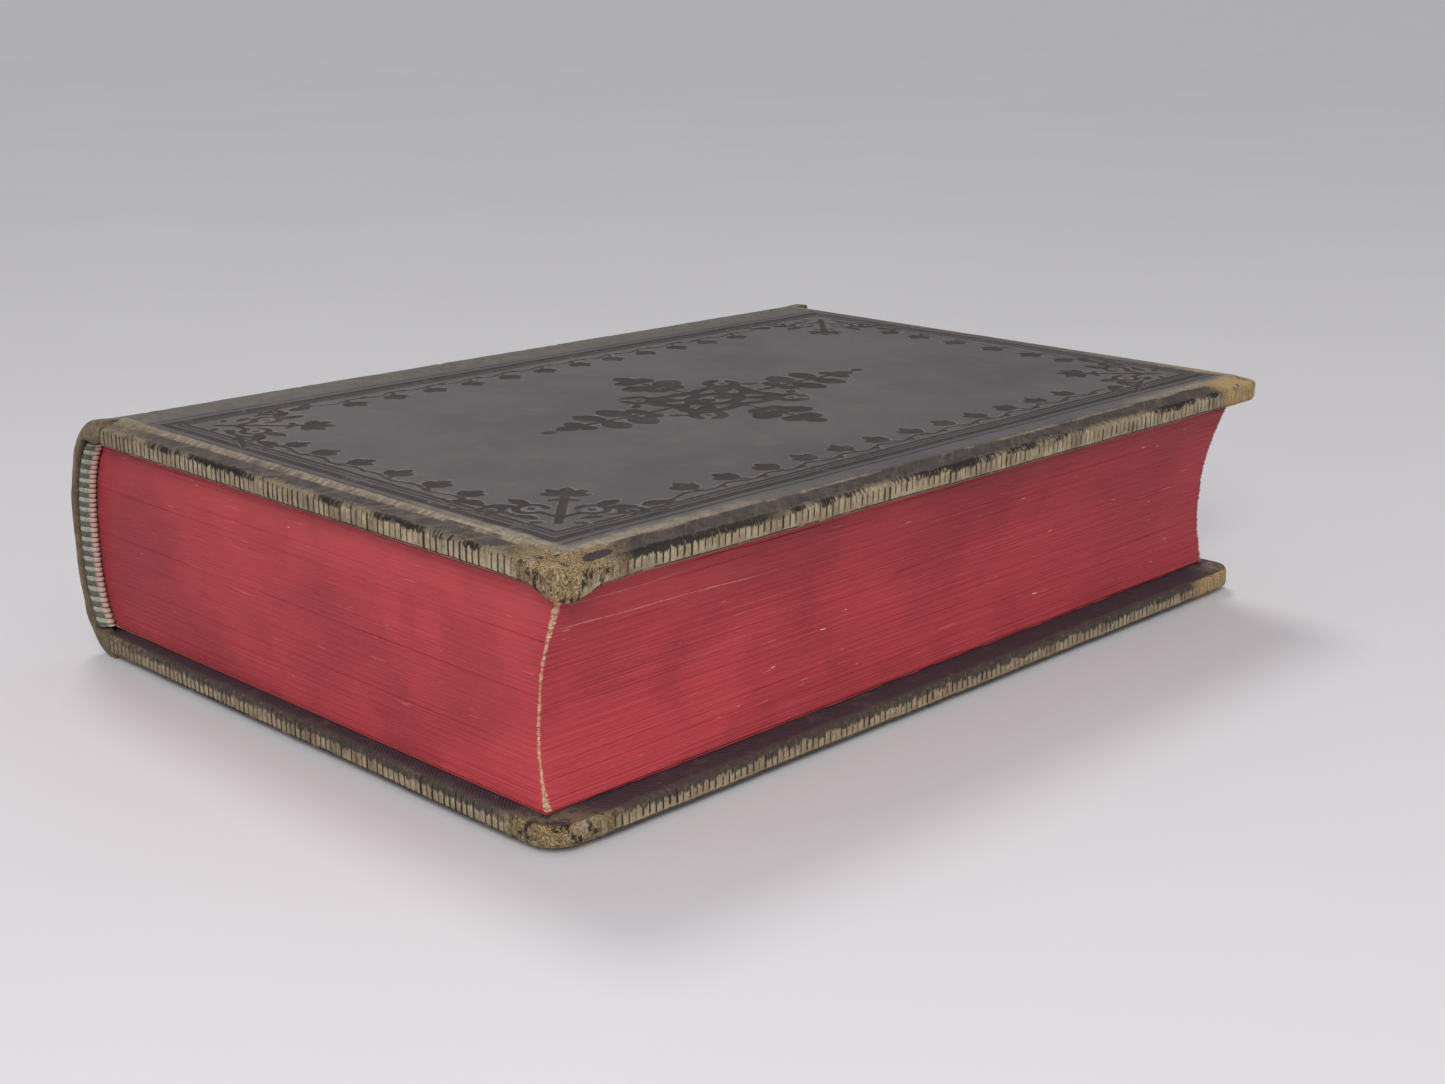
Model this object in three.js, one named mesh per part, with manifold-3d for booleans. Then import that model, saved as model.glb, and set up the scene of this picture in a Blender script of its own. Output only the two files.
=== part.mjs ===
// A small leather-bound prayer book, closed and lying on its back cover.
//
// Millimetres. +X runs from the spine to the fore-edge, +Y from tail to head, +Z up.
// The origin is the centre of the bounding box at the table. Inside this file x is
// counted from the outermost line of the spine, and the whole book is moved at the end.
//
// The book is slightly cocked, as old books are: the front joint sits further from the
// spine's outer line than the back joint, so the front cover overhangs at the fore-edge.

import * as THREE from 'three';
import { mergeVertices } from 'three/addons/utils/BufferGeometryUtils.js';
import Module from 'manifold-3d';

const wasm = await Module();
wasm.setup();

// ---- driving dimensions -------------------------------------------------------------

const BOOK_HEIGHT = 140;          // head to tail, over the boards
const BOOK_THICKNESS = 33.6;      // over both covers
const BOARD_WIDTH = 92.6;         // joint to fore-edge
const BACK_JOINT_X = 8;           // where the back board begins
const FRONT_JOINT_X = 10.3;       // where the front board begins

const COVER = 3.4;                // board and leather together
const BEVEL_WIDTH = 3.4;          // sloping band round the outside of each board
const BEVEL_DROP = 0.75;
const CORNER_RADIUS = 4;
const COVER_LEATHER = 0.5;
const TURN_IN = 9;                // leather folded over onto the inside of the board
const PASTEDOWN = 0.4;

const TAIL_SQUARE = 2.6;          // how far the boards stand past the leaves, head and tail
const BACK_FORE_SQUARE = 3.1;     // and at the fore-edge
const FRONT_FORE_SQUARE = 4.1;
const FORE_HOLLOW = 2.8;          // depth of the concave fore-edge

const SPINE_ROUNDNESS = 2.3;      // exponent of the spine's rounded section
const SPINE_LEATHER = 1;
const SPINE_LINING = 0.9;
const TAPE = 0.4;
const TAPE_WIDTH = 10;
const TAPE_PLACES = [-42, 0, 42];
const HEADBAND_DIAMETER = 2;

const FLYLEAF = 0.2;
const QUIRES_PER_GROUP = 4;
const FOLD_ROUNDING = 0.5;        // how far the back of a folded quire is rounded

const GAP = 0.15;                 // air between neighbouring pieces
const QUIRE_GAP = 0.1;

// ---- levels that follow from them ---------------------------------------------------

const MIDDLE = BOOK_THICKNESS / 2;
const TEXT_BOTTOM = COVER + GAP + FLYLEAF + GAP;
const TEXT_TOP = BOOK_THICKNESS - TEXT_BOTTOM;
const TEXT_END = BOOK_HEIGHT / 2 - TAIL_SQUARE;
const TOTAL_WIDTH = FRONT_JOINT_X + BOARD_WIDTH;
const LINING_INSET = SPINE_LEATHER + GAP;
const TAPE_INSET = LINING_INSET + SPINE_LINING + GAP;
const FOLD_INSET = TAPE_INSET + TAPE + GAP;
const SPINE_END = BOOK_HEIGHT / 2 - 2 * GAP;

// The text block opens at the boundaries between four groups of quires, back to front.
const GROUPS = ['back', 'back_middle', 'front_middle', 'front'];
const GROUP_THICKNESS = (TEXT_TOP - TEXT_BOTTOM) / GROUPS.length;

// ---- materials ----------------------------------------------------------------------

const finish = (color, roughness) => () => new THREE.MeshStandardMaterial({
  color,
  roughness,
  metalness: 0,
});
const COVER_LEATHER_FINISH = finish('#3b3436', 0.5);
const SPINE_LEATHER_FINISH = finish('#5d5140', 0.6);
const BOARD_FINISH = finish('#9a8b70', 0.9);
const PAPER_FINISH = finish('#d9cdb0', 0.9);
const LEAVES_FINISH = finish('#9c3640', 0.7);
const LINEN_FINISH = finish('#b8ab8c', 0.9);
const HEADBAND_FINISH = finish('#a8a89c', 0.8);

// ---- helpers ------------------------------------------------------------------------

const book = new THREE.Group();
book.position.x = -TOTAL_WIDTH / 2;

function addPiece(parent, name, geometry, makeMaterial) {
  const mesh = new THREE.Mesh(geometry, makeMaterial());
  mesh.name = name;
  parent.add(mesh);
}

// A solid for joining and cutting, from a closed geometry.
function toSolid(geometry) {
  const bare = geometry.clone();
  bare.deleteAttribute('normal');
  bare.deleteAttribute('uv');
  const merged = mergeVertices(bare, 1e-4);
  return new wasm.Manifold(new wasm.Mesh({
    numProp: 3,
    vertProperties: merged.attributes.position.array,
    triVerts: Uint32Array.from(merged.index.array),
  }));
}

function fromSolid(solid) {
  const mesh = solid.getMesh();
  const geometry = new THREE.BufferGeometry();
  geometry.setAttribute('position', new THREE.BufferAttribute(mesh.vertProperties, 3));
  geometry.setIndex(new THREE.BufferAttribute(mesh.triVerts, 1));
  geometry.computeVertexNormals();
  return geometry;
}

function box(low, high) {
  const size = high.map((value, i) => value - low[i]);
  const centre = high.map((value, i) => (value + low[i]) / 2);
  return new THREE.BoxGeometry(...size).translate(...centre);
}

// A section drawn in x and z, run along Y from `tail` to `head`.
function runAlongY(points, tail, head) {
  const shape = new THREE.Shape(points);
  const geometry = new THREE.ExtrudeGeometry(shape, {
    depth: head - tail,
    bevelEnabled: false,
    steps: 1,
  });
  return geometry.rotateX(Math.PI / 2).translate(0, head, 0);
}

// ---- the spine's section ------------------------------------------------------------

// A point on the spine's rounded section, `inset` inside its outer surface.
// The angle runs from -90 degrees at the back joint to 90 degrees at the front joint.
function spinePoint(inset, angle) {
  const joint = angle < 0 ? BACK_JOINT_X : FRONT_JOINT_X;
  const power = 2 / SPINE_ROUNDNESS;
  const across = Math.abs(Math.cos(angle)) ** power;
  const up = Math.sign(angle) * Math.abs(Math.sin(angle)) ** power;
  const x = inset + (joint - inset) * (1 - across);
  const z = MIDDLE + (MIDDLE - inset) * up;
  return new THREE.Vector2(x, z);
}

// The angle at which that section reaches height z.
function spineAngle(inset, z) {
  const up = THREE.MathUtils.clamp((z - MIDDLE) / (MIDDLE - inset), -1, 1);
  return Math.sign(up) * Math.asin(Math.abs(up) ** (SPINE_ROUNDNESS / 2));
}

function spineArc(inset, zFrom, zTo, steps) {
  const from = spineAngle(inset, zFrom);
  const to = spineAngle(inset, zTo);
  const points = [];
  for (let i = 0; i <= steps; i += 1) {
    points.push(spinePoint(inset, from + (to - from) * i / steps));
  }
  return points;
}

// A curved strip of the spine between two heights: outer arc up, inner arc back down.
function spineShell(inset, thickness, zLow, zHigh, steps = 6) {
  return [
    ...spineArc(inset, zLow, zHigh, steps),
    ...spineArc(inset + thickness, zHigh, zLow, steps),
  ];
}

const foldX = (z) => spinePoint(FOLD_INSET, spineAngle(FOLD_INSET, z)).x;

function foreEdgeX(z) {
  const back = BACK_JOINT_X + BOARD_WIDTH - BACK_FORE_SQUARE;
  const front = FRONT_JOINT_X + BOARD_WIDTH - FRONT_FORE_SQUARE;
  const hollow = FORE_HOLLOW * (1 - (z / MIDDLE - 1) ** 2);
  return THREE.MathUtils.lerp(back, front, z / BOOK_THICKNESS) - hollow;
}

// ---- covers -------------------------------------------------------------------------

// Each cover is drawn bevelled face down, with x = 0 at its joint.
// The plate is drawn past the joint and trimmed there, so that the joint side has no bevel.
function coverPlate(inset, zLow, zHigh, xStart) {
  const reach = BOARD_WIDTH - inset - BEVEL_WIDTH;
  const half = BOOK_HEIGHT / 2 - inset - BEVEL_WIDTH;
  const radius = CORNER_RADIUS - BEVEL_WIDTH;
  const overrun = 2 * BEVEL_WIDTH;
  const outline = new THREE.Shape();
  outline.moveTo(-overrun, -half);
  outline.lineTo(reach - radius, -half);
  outline.absarc(reach - radius, radius - half, radius, -Math.PI / 2, 0, false);
  outline.absarc(reach - radius, half - radius, radius, 0, Math.PI / 2, false);
  outline.lineTo(-overrun, half);
  const geometry = new THREE.ExtrudeGeometry(outline, {
    depth: 2 * COVER,
    bevelEnabled: true,
    bevelSegments: 1,
    bevelSize: BEVEL_WIDTH,
    bevelThickness: BEVEL_DROP,
    curveSegments: 6,
  });
  geometry.translate(0, 0, zLow + BEVEL_DROP);
  const keep = box([xStart, -BOOK_HEIGHT, zLow - 1], [2 * BOARD_WIDTH, BOOK_HEIGHT, zHigh]);
  return toSolid(geometry).intersect(toSolid(keep));
}

function coverPieces(parent, side) {
  const turnedIn = COVER - COVER_LEATHER;
  const windowReach = BOARD_WIDTH - TURN_IN;
  const windowHalf = BOOK_HEIGHT / 2 - TURN_IN;

  const hollow = coverPlate(COVER_LEATHER, COVER_LEATHER, turnedIn, -1);
  const opening = box([-1, -windowHalf, COVER_LEATHER + 1], [windowReach, windowHalf, COVER + 1]);
  const leather = coverPlate(0, 0, COVER, GAP).subtract(hollow).subtract(toSolid(opening));
  addPiece(parent, `${side}_cover_leather`, fromSolid(leather), COVER_LEATHER_FINISH);

  const clear = COVER_LEATHER + GAP;
  const board = coverPlate(clear, clear, turnedIn - GAP, 2 * GAP);
  addPiece(parent, `${side}_board`, fromSolid(board), BOARD_FINISH);

  const pastedown = box(
    [2 * GAP, GAP - windowHalf, turnedIn],
    [windowReach - GAP, windowHalf - GAP, turnedIn + PASTEDOWN],
  );
  addPiece(parent, `${side}_pastedown`, pastedown, PAPER_FINISH);
}

const backCover = new THREE.Group();
backCover.position.set(BACK_JOINT_X, 0, 0);
coverPieces(backCover, 'back');

const frontCover = new THREE.Group();
frontCover.position.set(FRONT_JOINT_X, 0, BOOK_THICKNESS);
frontCover.rotation.x = Math.PI;
coverPieces(frontCover, 'front');

book.add(backCover, frontCover);

// The leather of each joint runs from the board's edge to the hinge line, which lies on
// the outer surface of the spine, level with the inside of the board.
const BACK_HINGE_Z = COVER;
const FRONT_HINGE_Z = BOOK_THICKNESS - COVER;

const backJoint = spineShell(0, SPINE_LEATHER, 0, BACK_HINGE_Z - GAP / 2);
addPiece(book, 'back_joint_leather', runAlongY(backJoint, -SPINE_END, SPINE_END),
  SPINE_LEATHER_FINISH);
const frontJoint = spineShell(0, SPINE_LEATHER, FRONT_HINGE_Z + GAP / 2, BOOK_THICKNESS);
addPiece(book, 'front_joint_leather', runAlongY(frontJoint, -SPINE_END, SPINE_END),
  SPINE_LEATHER_FINISH);

// ---- flyleaves ----------------------------------------------------------------------

function addFlyleaf(name, zLow) {
  const zHigh = zLow + FLYLEAF;
  const spineSide = Math.max(foldX(zLow), foldX(zHigh)) + FOLD_ROUNDING;
  const foreSide = Math.min(foreEdgeX(zLow), foreEdgeX(zHigh));
  const sheet = box([spineSide, -TEXT_END, zLow], [foreSide, TEXT_END, zHigh]);
  addPiece(book, name, sheet, PAPER_FINISH);
}

addFlyleaf('back_flyleaf', COVER + GAP);
addFlyleaf('front_flyleaf', BOOK_THICKNESS - COVER - GAP - FLYLEAF);

// ---- quires, and the spine behind each group of them --------------------------------

function quireOutline(zLow, zHigh) {
  const centre = (zLow + zHigh) / 2;
  return [
    [foldX(zLow) + FOLD_ROUNDING, zLow],
    [foreEdgeX(zLow), zLow],
    [foreEdgeX(zHigh), zHigh],
    [foldX(zHigh) + FOLD_ROUNDING, zHigh],
    [foldX(centre), centre],
  ].map(([x, z]) => new THREE.Vector2(x, z));
}

function addQuires(group, zBottom) {
  const thickness = GROUP_THICKNESS / QUIRES_PER_GROUP;
  for (let i = 0; i < QUIRES_PER_GROUP; i += 1) {
    const zLow = zBottom + i * thickness + QUIRE_GAP / 2;
    const outline = quireOutline(zLow, zLow + thickness - QUIRE_GAP);
    addPiece(book, `${group}_quire_${i + 1}`, runAlongY(outline, -TEXT_END, TEXT_END),
      LEAVES_FINISH);
  }
}

// A round cord core wound with thread, standing on the leaves at one end of the spine.
function headband(zLow, zHigh, end) {
  const radius = HEADBAND_DIAMETER / 2;
  const y = end * (TEXT_END + GAP + radius);
  const arc = spineArc(LINING_INSET + GAP + radius, zLow, zHigh, 4);
  const path = new THREE.CatmullRomCurve3(arc.map((point) => new THREE.Vector3(point.x, y, point.y)));
  const section = new THREE.Shape().absarc(0, 0, radius, 0, 2 * Math.PI, false);
  return new THREE.ExtrudeGeometry(section, {
    extrudePath: path,
    steps: 4,
    curveSegments: 5,
    bevelEnabled: false,
  });
}

const HINGE_LEVELS = GROUPS.map((group, i) => TEXT_BOTTOM + i * GROUP_THICKNESS);
const SPINE_LEVELS = [BACK_HINGE_Z, ...HINGE_LEVELS.slice(1), FRONT_HINGE_Z];

GROUPS.forEach((group, i) => {
  addQuires(group, HINGE_LEVELS[i]);

  const zLow = SPINE_LEVELS[i] + GAP / 2;
  const zHigh = SPINE_LEVELS[i + 1] - GAP / 2;
  const leather = spineShell(0, SPINE_LEATHER, zLow, zHigh);
  addPiece(book, `${group}_spine_leather`, runAlongY(leather, -SPINE_END, SPINE_END),
    SPINE_LEATHER_FINISH);

  const liningLow = Math.max(zLow, TEXT_BOTTOM);
  const liningHigh = Math.min(zHigh, TEXT_TOP);
  const lining = spineShell(LINING_INSET, SPINE_LINING, liningLow, liningHigh);
  addPiece(book, `${group}_spine_lining`, runAlongY(lining, -TEXT_END, TEXT_END), LINEN_FINISH);

  const tape = spineShell(TAPE_INSET, TAPE, liningLow, liningHigh, 4);
  TAPE_PLACES.forEach((place, number) => {
    const geometry = runAlongY(tape, place - TAPE_WIDTH / 2, place + TAPE_WIDTH / 2);
    addPiece(book, `${group}_sewing_tape_${number + 1}`, geometry, LINEN_FINISH);
  });

  addPiece(book, `${group}_headband_tail`, headband(liningLow, liningHigh, -1), HEADBAND_FINISH);
  addPiece(book, `${group}_headband_head`, headband(liningLow, liningHigh, 1), HEADBAND_FINISH);
});

export default book;
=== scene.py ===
# Looks of a small leather-bound prayer book with blind-tooled bevelled covers and red-stained leaves.
# Lengths are millimetres, with x counted from the spine's outer line, as in the CAD source. Meshes are turned
# into metres, round the middle of the book, at the moment they are made. The floor, lights and camera are
# placed in metres.

import math

import bmesh
import bpy
import numpy as np
from mathutils import Matrix, Vector


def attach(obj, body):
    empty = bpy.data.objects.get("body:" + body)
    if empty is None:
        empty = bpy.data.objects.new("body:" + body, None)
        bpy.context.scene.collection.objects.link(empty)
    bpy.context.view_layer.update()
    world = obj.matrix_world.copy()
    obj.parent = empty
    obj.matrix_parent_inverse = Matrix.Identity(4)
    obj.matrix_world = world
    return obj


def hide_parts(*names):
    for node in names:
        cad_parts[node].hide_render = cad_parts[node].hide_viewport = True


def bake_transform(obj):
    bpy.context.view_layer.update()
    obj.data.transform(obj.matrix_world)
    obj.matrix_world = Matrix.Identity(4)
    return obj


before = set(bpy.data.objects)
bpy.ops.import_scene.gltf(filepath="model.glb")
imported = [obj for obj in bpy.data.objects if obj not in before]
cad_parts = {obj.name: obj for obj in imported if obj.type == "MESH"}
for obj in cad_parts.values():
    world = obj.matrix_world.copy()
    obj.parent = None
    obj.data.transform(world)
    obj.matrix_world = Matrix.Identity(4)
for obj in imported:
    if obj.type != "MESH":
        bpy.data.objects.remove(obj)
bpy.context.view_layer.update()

# ---- the book's own dimensions, as in the CAD source -----------------------------------

BOOK_HEIGHT = 140.0
BOOK_THICKNESS = 33.6
BOARD_WIDTH = 92.6
JOINT_X = {"back": 8.0, "front": 10.3}
COVER = 3.4
BEVEL_WIDTH = 3.4
CORNER_RADIUS = 4.0
TURN_IN = 9.0
TEXT_LOW = 3.9
TEXT_HIGH = 29.7
TEXT_END = 67.4
FLYLEAF = 0.2
SPINE_ROUNDNESS = 2.3
SPINE_END = 69.75
FOLD_INSET = 2.75
FOLD_ROUNDING = 0.5
FORE_EDGE_X = {"back": 97.5, "front": 98.8}
FORE_HOLLOW = 2.8
MIDDLE = BOOK_THICKNESS / 2
HALF = BOOK_HEIGHT / 2
ORIGIN_X = (JOINT_X["front"] + BOARD_WIDTH) / 2
GROUPS = ["back", "back_middle", "front_middle", "front"]
GROUP_THICKNESS = (TEXT_HIGH - TEXT_LOW) / len(GROUPS)
HINGE_Z = [COVER, *(TEXT_LOW + GROUP_THICKNESS * k for k in (1, 2, 3)), BOOK_THICKNESS - COVER]
SLIP_AT_ENDS = 0.6                # how far the leaves have slid out of square, at head and tail
SLIP_FRONT = 1.7                  # and towards the fore-edge, in the front half
SLIP_BACK = 0.5


def ramp(x, start, end):
    """0 before start, 1 after end, smooth between; start may be above end."""
    t = np.clip((np.asarray(x, float) - start) / (end - start), 0, 1)
    return t * t * (3 - 2 * t)


def spine_point(inset, angle):
    """A point of the spine's rounded section, at a depth below its surface."""
    joint = np.where(angle < 0, JOINT_X["back"], JOINT_X["front"])
    power = 2 / SPINE_ROUNDNESS
    across = np.abs(np.cos(angle)) ** power
    up = np.sign(angle) * np.abs(np.sin(angle)) ** power
    return inset + (joint - inset) * (1 - across), MIDDLE + (MIDDLE - inset) * up


def spine_angle(inset, z):
    up = np.clip((z - MIDDLE) / (MIDDLE - inset), -1, 1)
    return np.sign(up) * np.arcsin(np.abs(up) ** (SPINE_ROUNDNESS / 2))


def fold_x(z):
    return spine_point(FOLD_INSET, spine_angle(FOLD_INSET, z))[0]


def fore_edge_x(z):
    """The hollow fore-edge, for numbers or for a value inside a material."""
    share = z / BOOK_THICKNESS
    bow = 2 * share - 1
    slope = FORE_EDGE_X["front"] - FORE_EDGE_X["back"]
    return FORE_EDGE_X["back"] + slope * share - FORE_HOLLOW * (1 - bow * bow)


def lean(y, z, ease=ramp):
    """How far the leaves have slid with age; ease is ramp, or a material's step."""
    low_leaves = ease(z, 18.0, 10.0) * ease(z, -4.0, 9.0)
    return y * (-SLIP_AT_ENDS / TEXT_END) + ease(z, 17.0, 31.0) * SLIP_FRONT - low_leaves * SLIP_BACK


# ---- seeded unevenness -----------------------------------------------------------------

def uneven(t, size, seed):
    """Smooth random numbers from -1 to 1 along a line, changing over `size`."""
    rng = np.random.default_rng(seed)
    table = rng.uniform(-1, 1, 4096)
    s = np.asarray(t, float) / size + 1000
    cell = np.floor(s).astype(int)
    f = s - cell
    f = f * f * (3 - 2 * f)
    return table[cell % 4096] * (1 - f) + table[(cell + 1) % 4096] * f


def uneven2(a, b, size, seed):
    """Smooth random numbers from -1 to 1 over a plane."""
    rng = np.random.default_rng(seed)
    table = rng.uniform(-1, 1, (256, 256))
    s, t = np.asarray(a, float) / size + 500, np.asarray(b, float) / size + 500
    i, j = np.floor(s).astype(int), np.floor(t).astype(int)
    f, g = s - i, t - j
    f, g = f * f * (3 - 2 * f), g * g * (3 - 2 * g)
    i, j, i1, j1 = i % 256, j % 256, (i + 1) % 256, (j + 1) % 256
    low = table[i, j] * (1 - f) + table[i1, j] * f
    high = table[i, j1] * (1 - f) + table[i1, j1] * f
    return low * (1 - g) + high * g


# ---- shader arithmetic -----------------------------------------------------------------

MM_IN_M = 1000.0


class Value:
    """A number or colour inside a material, so that its arithmetic reads as arithmetic."""

    def __init__(self, shader, socket):
        self.shader = shader
        self.socket = socket

    def __add__(self, other):
        return self.shader.math("ADD", self, other)

    __radd__ = __add__

    def __sub__(self, other):
        return self.shader.math("SUBTRACT", self, other)

    def __rsub__(self, other):
        return self.shader.math("SUBTRACT", other, self)

    def __mul__(self, other):
        return self.shader.math("MULTIPLY", self, other)

    __rmul__ = __mul__

    def __truediv__(self, other):
        return self.shader.math("DIVIDE", self, other)

    def paint(self, share, tint):
        """Covers this colour with a tint, by a share from 0 to 1."""
        self.socket = self.shader.mix(share, self, tint).socket


class Shader:
    """One procedural material on a Principled BSDF."""

    def __init__(self, name):
        self.material = bpy.data.materials.new(name)
        self.material.use_nodes = True
        self.tree = self.material.node_tree
        self.bsdf = self.tree.nodes["Principled BSDF"]

    def node(self, kind, **settings):
        made = self.tree.nodes.new("ShaderNode" + kind)
        for key, value in settings.items():
            setattr(made, key, value)
        return made

    def put(self, socket, value):
        if isinstance(value, Value):
            self.tree.links.new(value.socket, socket)
        elif isinstance(value, (tuple, list)) and len(value) == 3 and len(socket.default_value) == 4:
            socket.default_value = (*value, 1)
        else:
            socket.default_value = value

    def math(self, operation, *values):
        node = self.node("Math", operation=operation)
        for socket, value in zip(node.inputs, values):
            self.put(socket, value)
        return Value(self, node.outputs[0])

    def low(self, a, b):
        return self.math("MINIMUM", a, b)

    def high(self, a, b):
        return self.math("MAXIMUM", a, b)

    def size(self, a):
        return self.math("ABSOLUTE", a)

    def wave(self, a):
        return self.math("SINE", a)

    def step(self, value, start, end):
        """0 before start, 1 after end, smooth between; start may be above end."""
        node = self.node("MapRange", interpolation_type="SMOOTHSTEP")
        flip = not isinstance(start, Value) and not isinstance(end, Value) and start > end
        ends = (end, start) if flip else (start, end)
        self.put(node.inputs["Value"], value)
        self.put(node.inputs["From Min"], ends[0])
        self.put(node.inputs["From Max"], ends[1])
        result = Value(self, node.outputs[0])
        return 1 - result if flip else result

    def band(self, value, centre, half_width, soft):
        """1 on a line of that half width, 0 off it."""
        return self.step(self.size(value - centre), half_width + soft, half_width - soft)

    def split(self, output):
        """A vector, and its three parts."""
        parts = self.node("SeparateXYZ")
        self.tree.links.new(output, parts.inputs[0])
        return Value(self, output), [Value(self, part) for part in parts.outputs]

    def attribute(self, name):
        return self.split(self.node("Attribute", attribute_name=name).outputs["Vector"])

    def number(self, name):
        return Value(self, self.node("Attribute", attribute_name=name).outputs["Fac"])

    def object_place(self):
        """The place in the object's own metres."""
        return self.split(self.node("TexCoord").outputs["Object"])

    def vector(self, x, y, z):
        node = self.node("CombineXYZ")
        for socket, value in zip(node.inputs, (x, y, z)):
            self.put(socket, value)
        return Value(self, node.outputs[0])

    def noise(self, place, scale, detail=4.0, roughness=0.55):
        node = self.node("TexNoise")
        self.put(node.inputs["Vector"], place)
        node.inputs["Scale"].default_value = scale
        node.inputs["Detail"].default_value = detail
        node.inputs["Roughness"].default_value = roughness
        return Value(self, node.outputs["Fac"])

    def cells(self, place, scale):
        node = self.node("TexVoronoi")
        self.put(node.inputs["Vector"], place)
        node.inputs["Scale"].default_value = scale
        return Value(self, node.outputs["Distance"])

    def mix(self, share, a, b):
        """Colour a, and b in its place where share is 1."""
        node = self.node("Mix", data_type="RGBA")
        factor, first, second = (node.inputs[k] for k in (0, 6, 7))
        self.put(factor, share)
        self.put(first, a)
        self.put(second, b)
        return Value(self, node.outputs[2])

    def finish(self, colour, roughness, height, depth, specular=0.5):
        """height is in 0..1 and depth is what 1 stands for, in millimetres."""
        self.put(self.bsdf.inputs["Base Color"], colour)
        self.put(self.bsdf.inputs["Roughness"], roughness)
        self.bsdf.inputs["Specular IOR Level"].default_value = specular
        bump = self.node("Bump")
        bump.inputs["Distance"].default_value = depth / MM_IN_M
        self.put(bump.inputs["Height"], height)
        self.tree.links.new(bump.outputs[0], self.bsdf.inputs["Normal"])
        return self.material


def rgb(red, green, blue):
    """Linear colour from display values out of 255."""
    def linear(c):
        c = c / 255
        return c / 12.92 if c <= 0.04045 else ((c + 0.055) / 1.055) ** 2.4
    return (linear(red), linear(green), linear(blue))


# ---- meshes ----------------------------------------------------------------------------

def to_row(points):
    return (np.asarray(points, float) - np.array([ORIGIN_X, 0, 0])) / MM_IN_M


def piece(name, points, triangles, material, slot, body=None, replaces=(), crease=None, **attributes):
    """A closed mesh from points in millimetres, with its faces turned outward.

    The named attributes are for the shader. rest, the place that a point is drawn from, is the point itself
    unless it is given.
    """
    mesh = bpy.data.meshes.new(name)
    points, triangles = np.asarray(points, float), np.asarray(triangles, np.int32)
    mesh.vertices.add(len(points))
    mesh.vertices.foreach_set("co", to_row(points).astype(np.float32).ravel())
    mesh.loops.add(triangles.size)
    mesh.loops.foreach_set("vertex_index", triangles.ravel())
    mesh.polygons.add(len(triangles))
    mesh.polygons.foreach_set("loop_start", np.arange(0, triangles.size, 3, dtype=np.int32))
    mesh.update(calc_edges=True)
    work = bmesh.new()
    work.from_mesh(mesh)
    bmesh.ops.recalc_face_normals(work, faces=work.faces)
    work.to_mesh(mesh)
    work.free()
    mesh.polygons.foreach_set("use_smooth", np.ones(len(triangles), bool))
    attributes.setdefault("rest", points)
    for key, values in attributes.items():
        values = np.asarray(values, np.float32)
        if values.ndim == 2:
            mesh.attributes.new(key, "FLOAT_VECTOR", "POINT").data.foreach_set("vector", values.ravel())
        else:
            mesh.attributes.new(key, "FLOAT", "POINT").data.foreach_set("value", values)
    if crease is not None:
        mesh.set_sharp_from_angle(angle=math.radians(crease))
    mesh.materials.append(material)
    made = bpy.data.objects.new(name, mesh)
    bpy.context.scene.collection.objects.link(made)
    if body is not None:
        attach(made, body)
    if replaces:
        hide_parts(*replaces)
    return made


def grid_faces(index, closed=False):
    """Two triangles for each cell of a grid of vertices; closed joins the last column to the first."""
    if closed:
        index = np.hstack([index, index[:, :1]])
    a, b, c, d = index[:-1, :-1], index[1:, :-1], index[1:, 1:], index[:-1, 1:]
    return np.concatenate([
        np.stack([a, b, c], -1).reshape(-1, 3),
        np.stack([a, c, d], -1).reshape(-1, 3),
    ])


def zip_faces(a, ta, b, tb):
    """Triangles between two rows of vertices whose spacing differs, matched by their parameters."""
    faces, i, j = [], 0, 0
    while i < len(a) - 1 or j < len(b) - 1:
        step_a = j == len(b) - 1 or (i < len(a) - 1 and ta[i + 1] <= tb[j + 1])
        if step_a:
            faces.append((a[i], b[j], a[i + 1]))
            i += 1
        else:
            faces.append((a[i], b[j], b[j + 1]))
            j += 1
    return np.array(faces, int)


# ---- blind tooling: distances to the stamped shapes, negative inside them --------------

def stroke(x, y, x0, y0, x1, y1, half):
    dx, dy = x1 - x0, y1 - y0
    t = np.clip(((x - x0) * dx + (y - y0) * dy) / (dx * dx + dy * dy), 0, 1)
    return np.hypot(x - x0 - t * dx, y - y0 - t * dy) - half


def leaf(x, y, x0, y0, x1, y1, half):
    """A pointed leaf from base to tip."""
    length = math.hypot(x1 - x0, y1 - y0)
    ex, ey = (x1 - x0) / length, (y1 - y0) / length
    px, py = x - (x0 + x1) / 2, y - (y0 + y1) / 2
    along, across = px * ex + py * ey, np.abs(py * ex - px * ey)
    radius = (length * length / 4 + half * half) / (2 * half)
    body = np.hypot(along, across + radius - half) - radius
    vein = np.maximum(across - 0.07, np.abs(along + 0.1 * length) - 0.24 * length)
    return np.maximum(body, -vein)


def ring(x, y, cx, cy, radius, half):
    return np.abs(np.hypot(x - cx, y - cy) - radius) - half


def curl(x, y, cx, cy, radius, half, opening):
    """A scroll: a ring left open towards one side, with a seed in the middle."""
    px, py = x - cx, y - cy
    gap = stroke(px, py, 0, 0, radius * 1.6 * math.cos(opening), radius * 1.6 * math.sin(opening), 0.55)
    return np.minimum(np.maximum(ring(px, py, 0, 0, radius, half), -gap), np.hypot(px, py) - 0.42)


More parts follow.
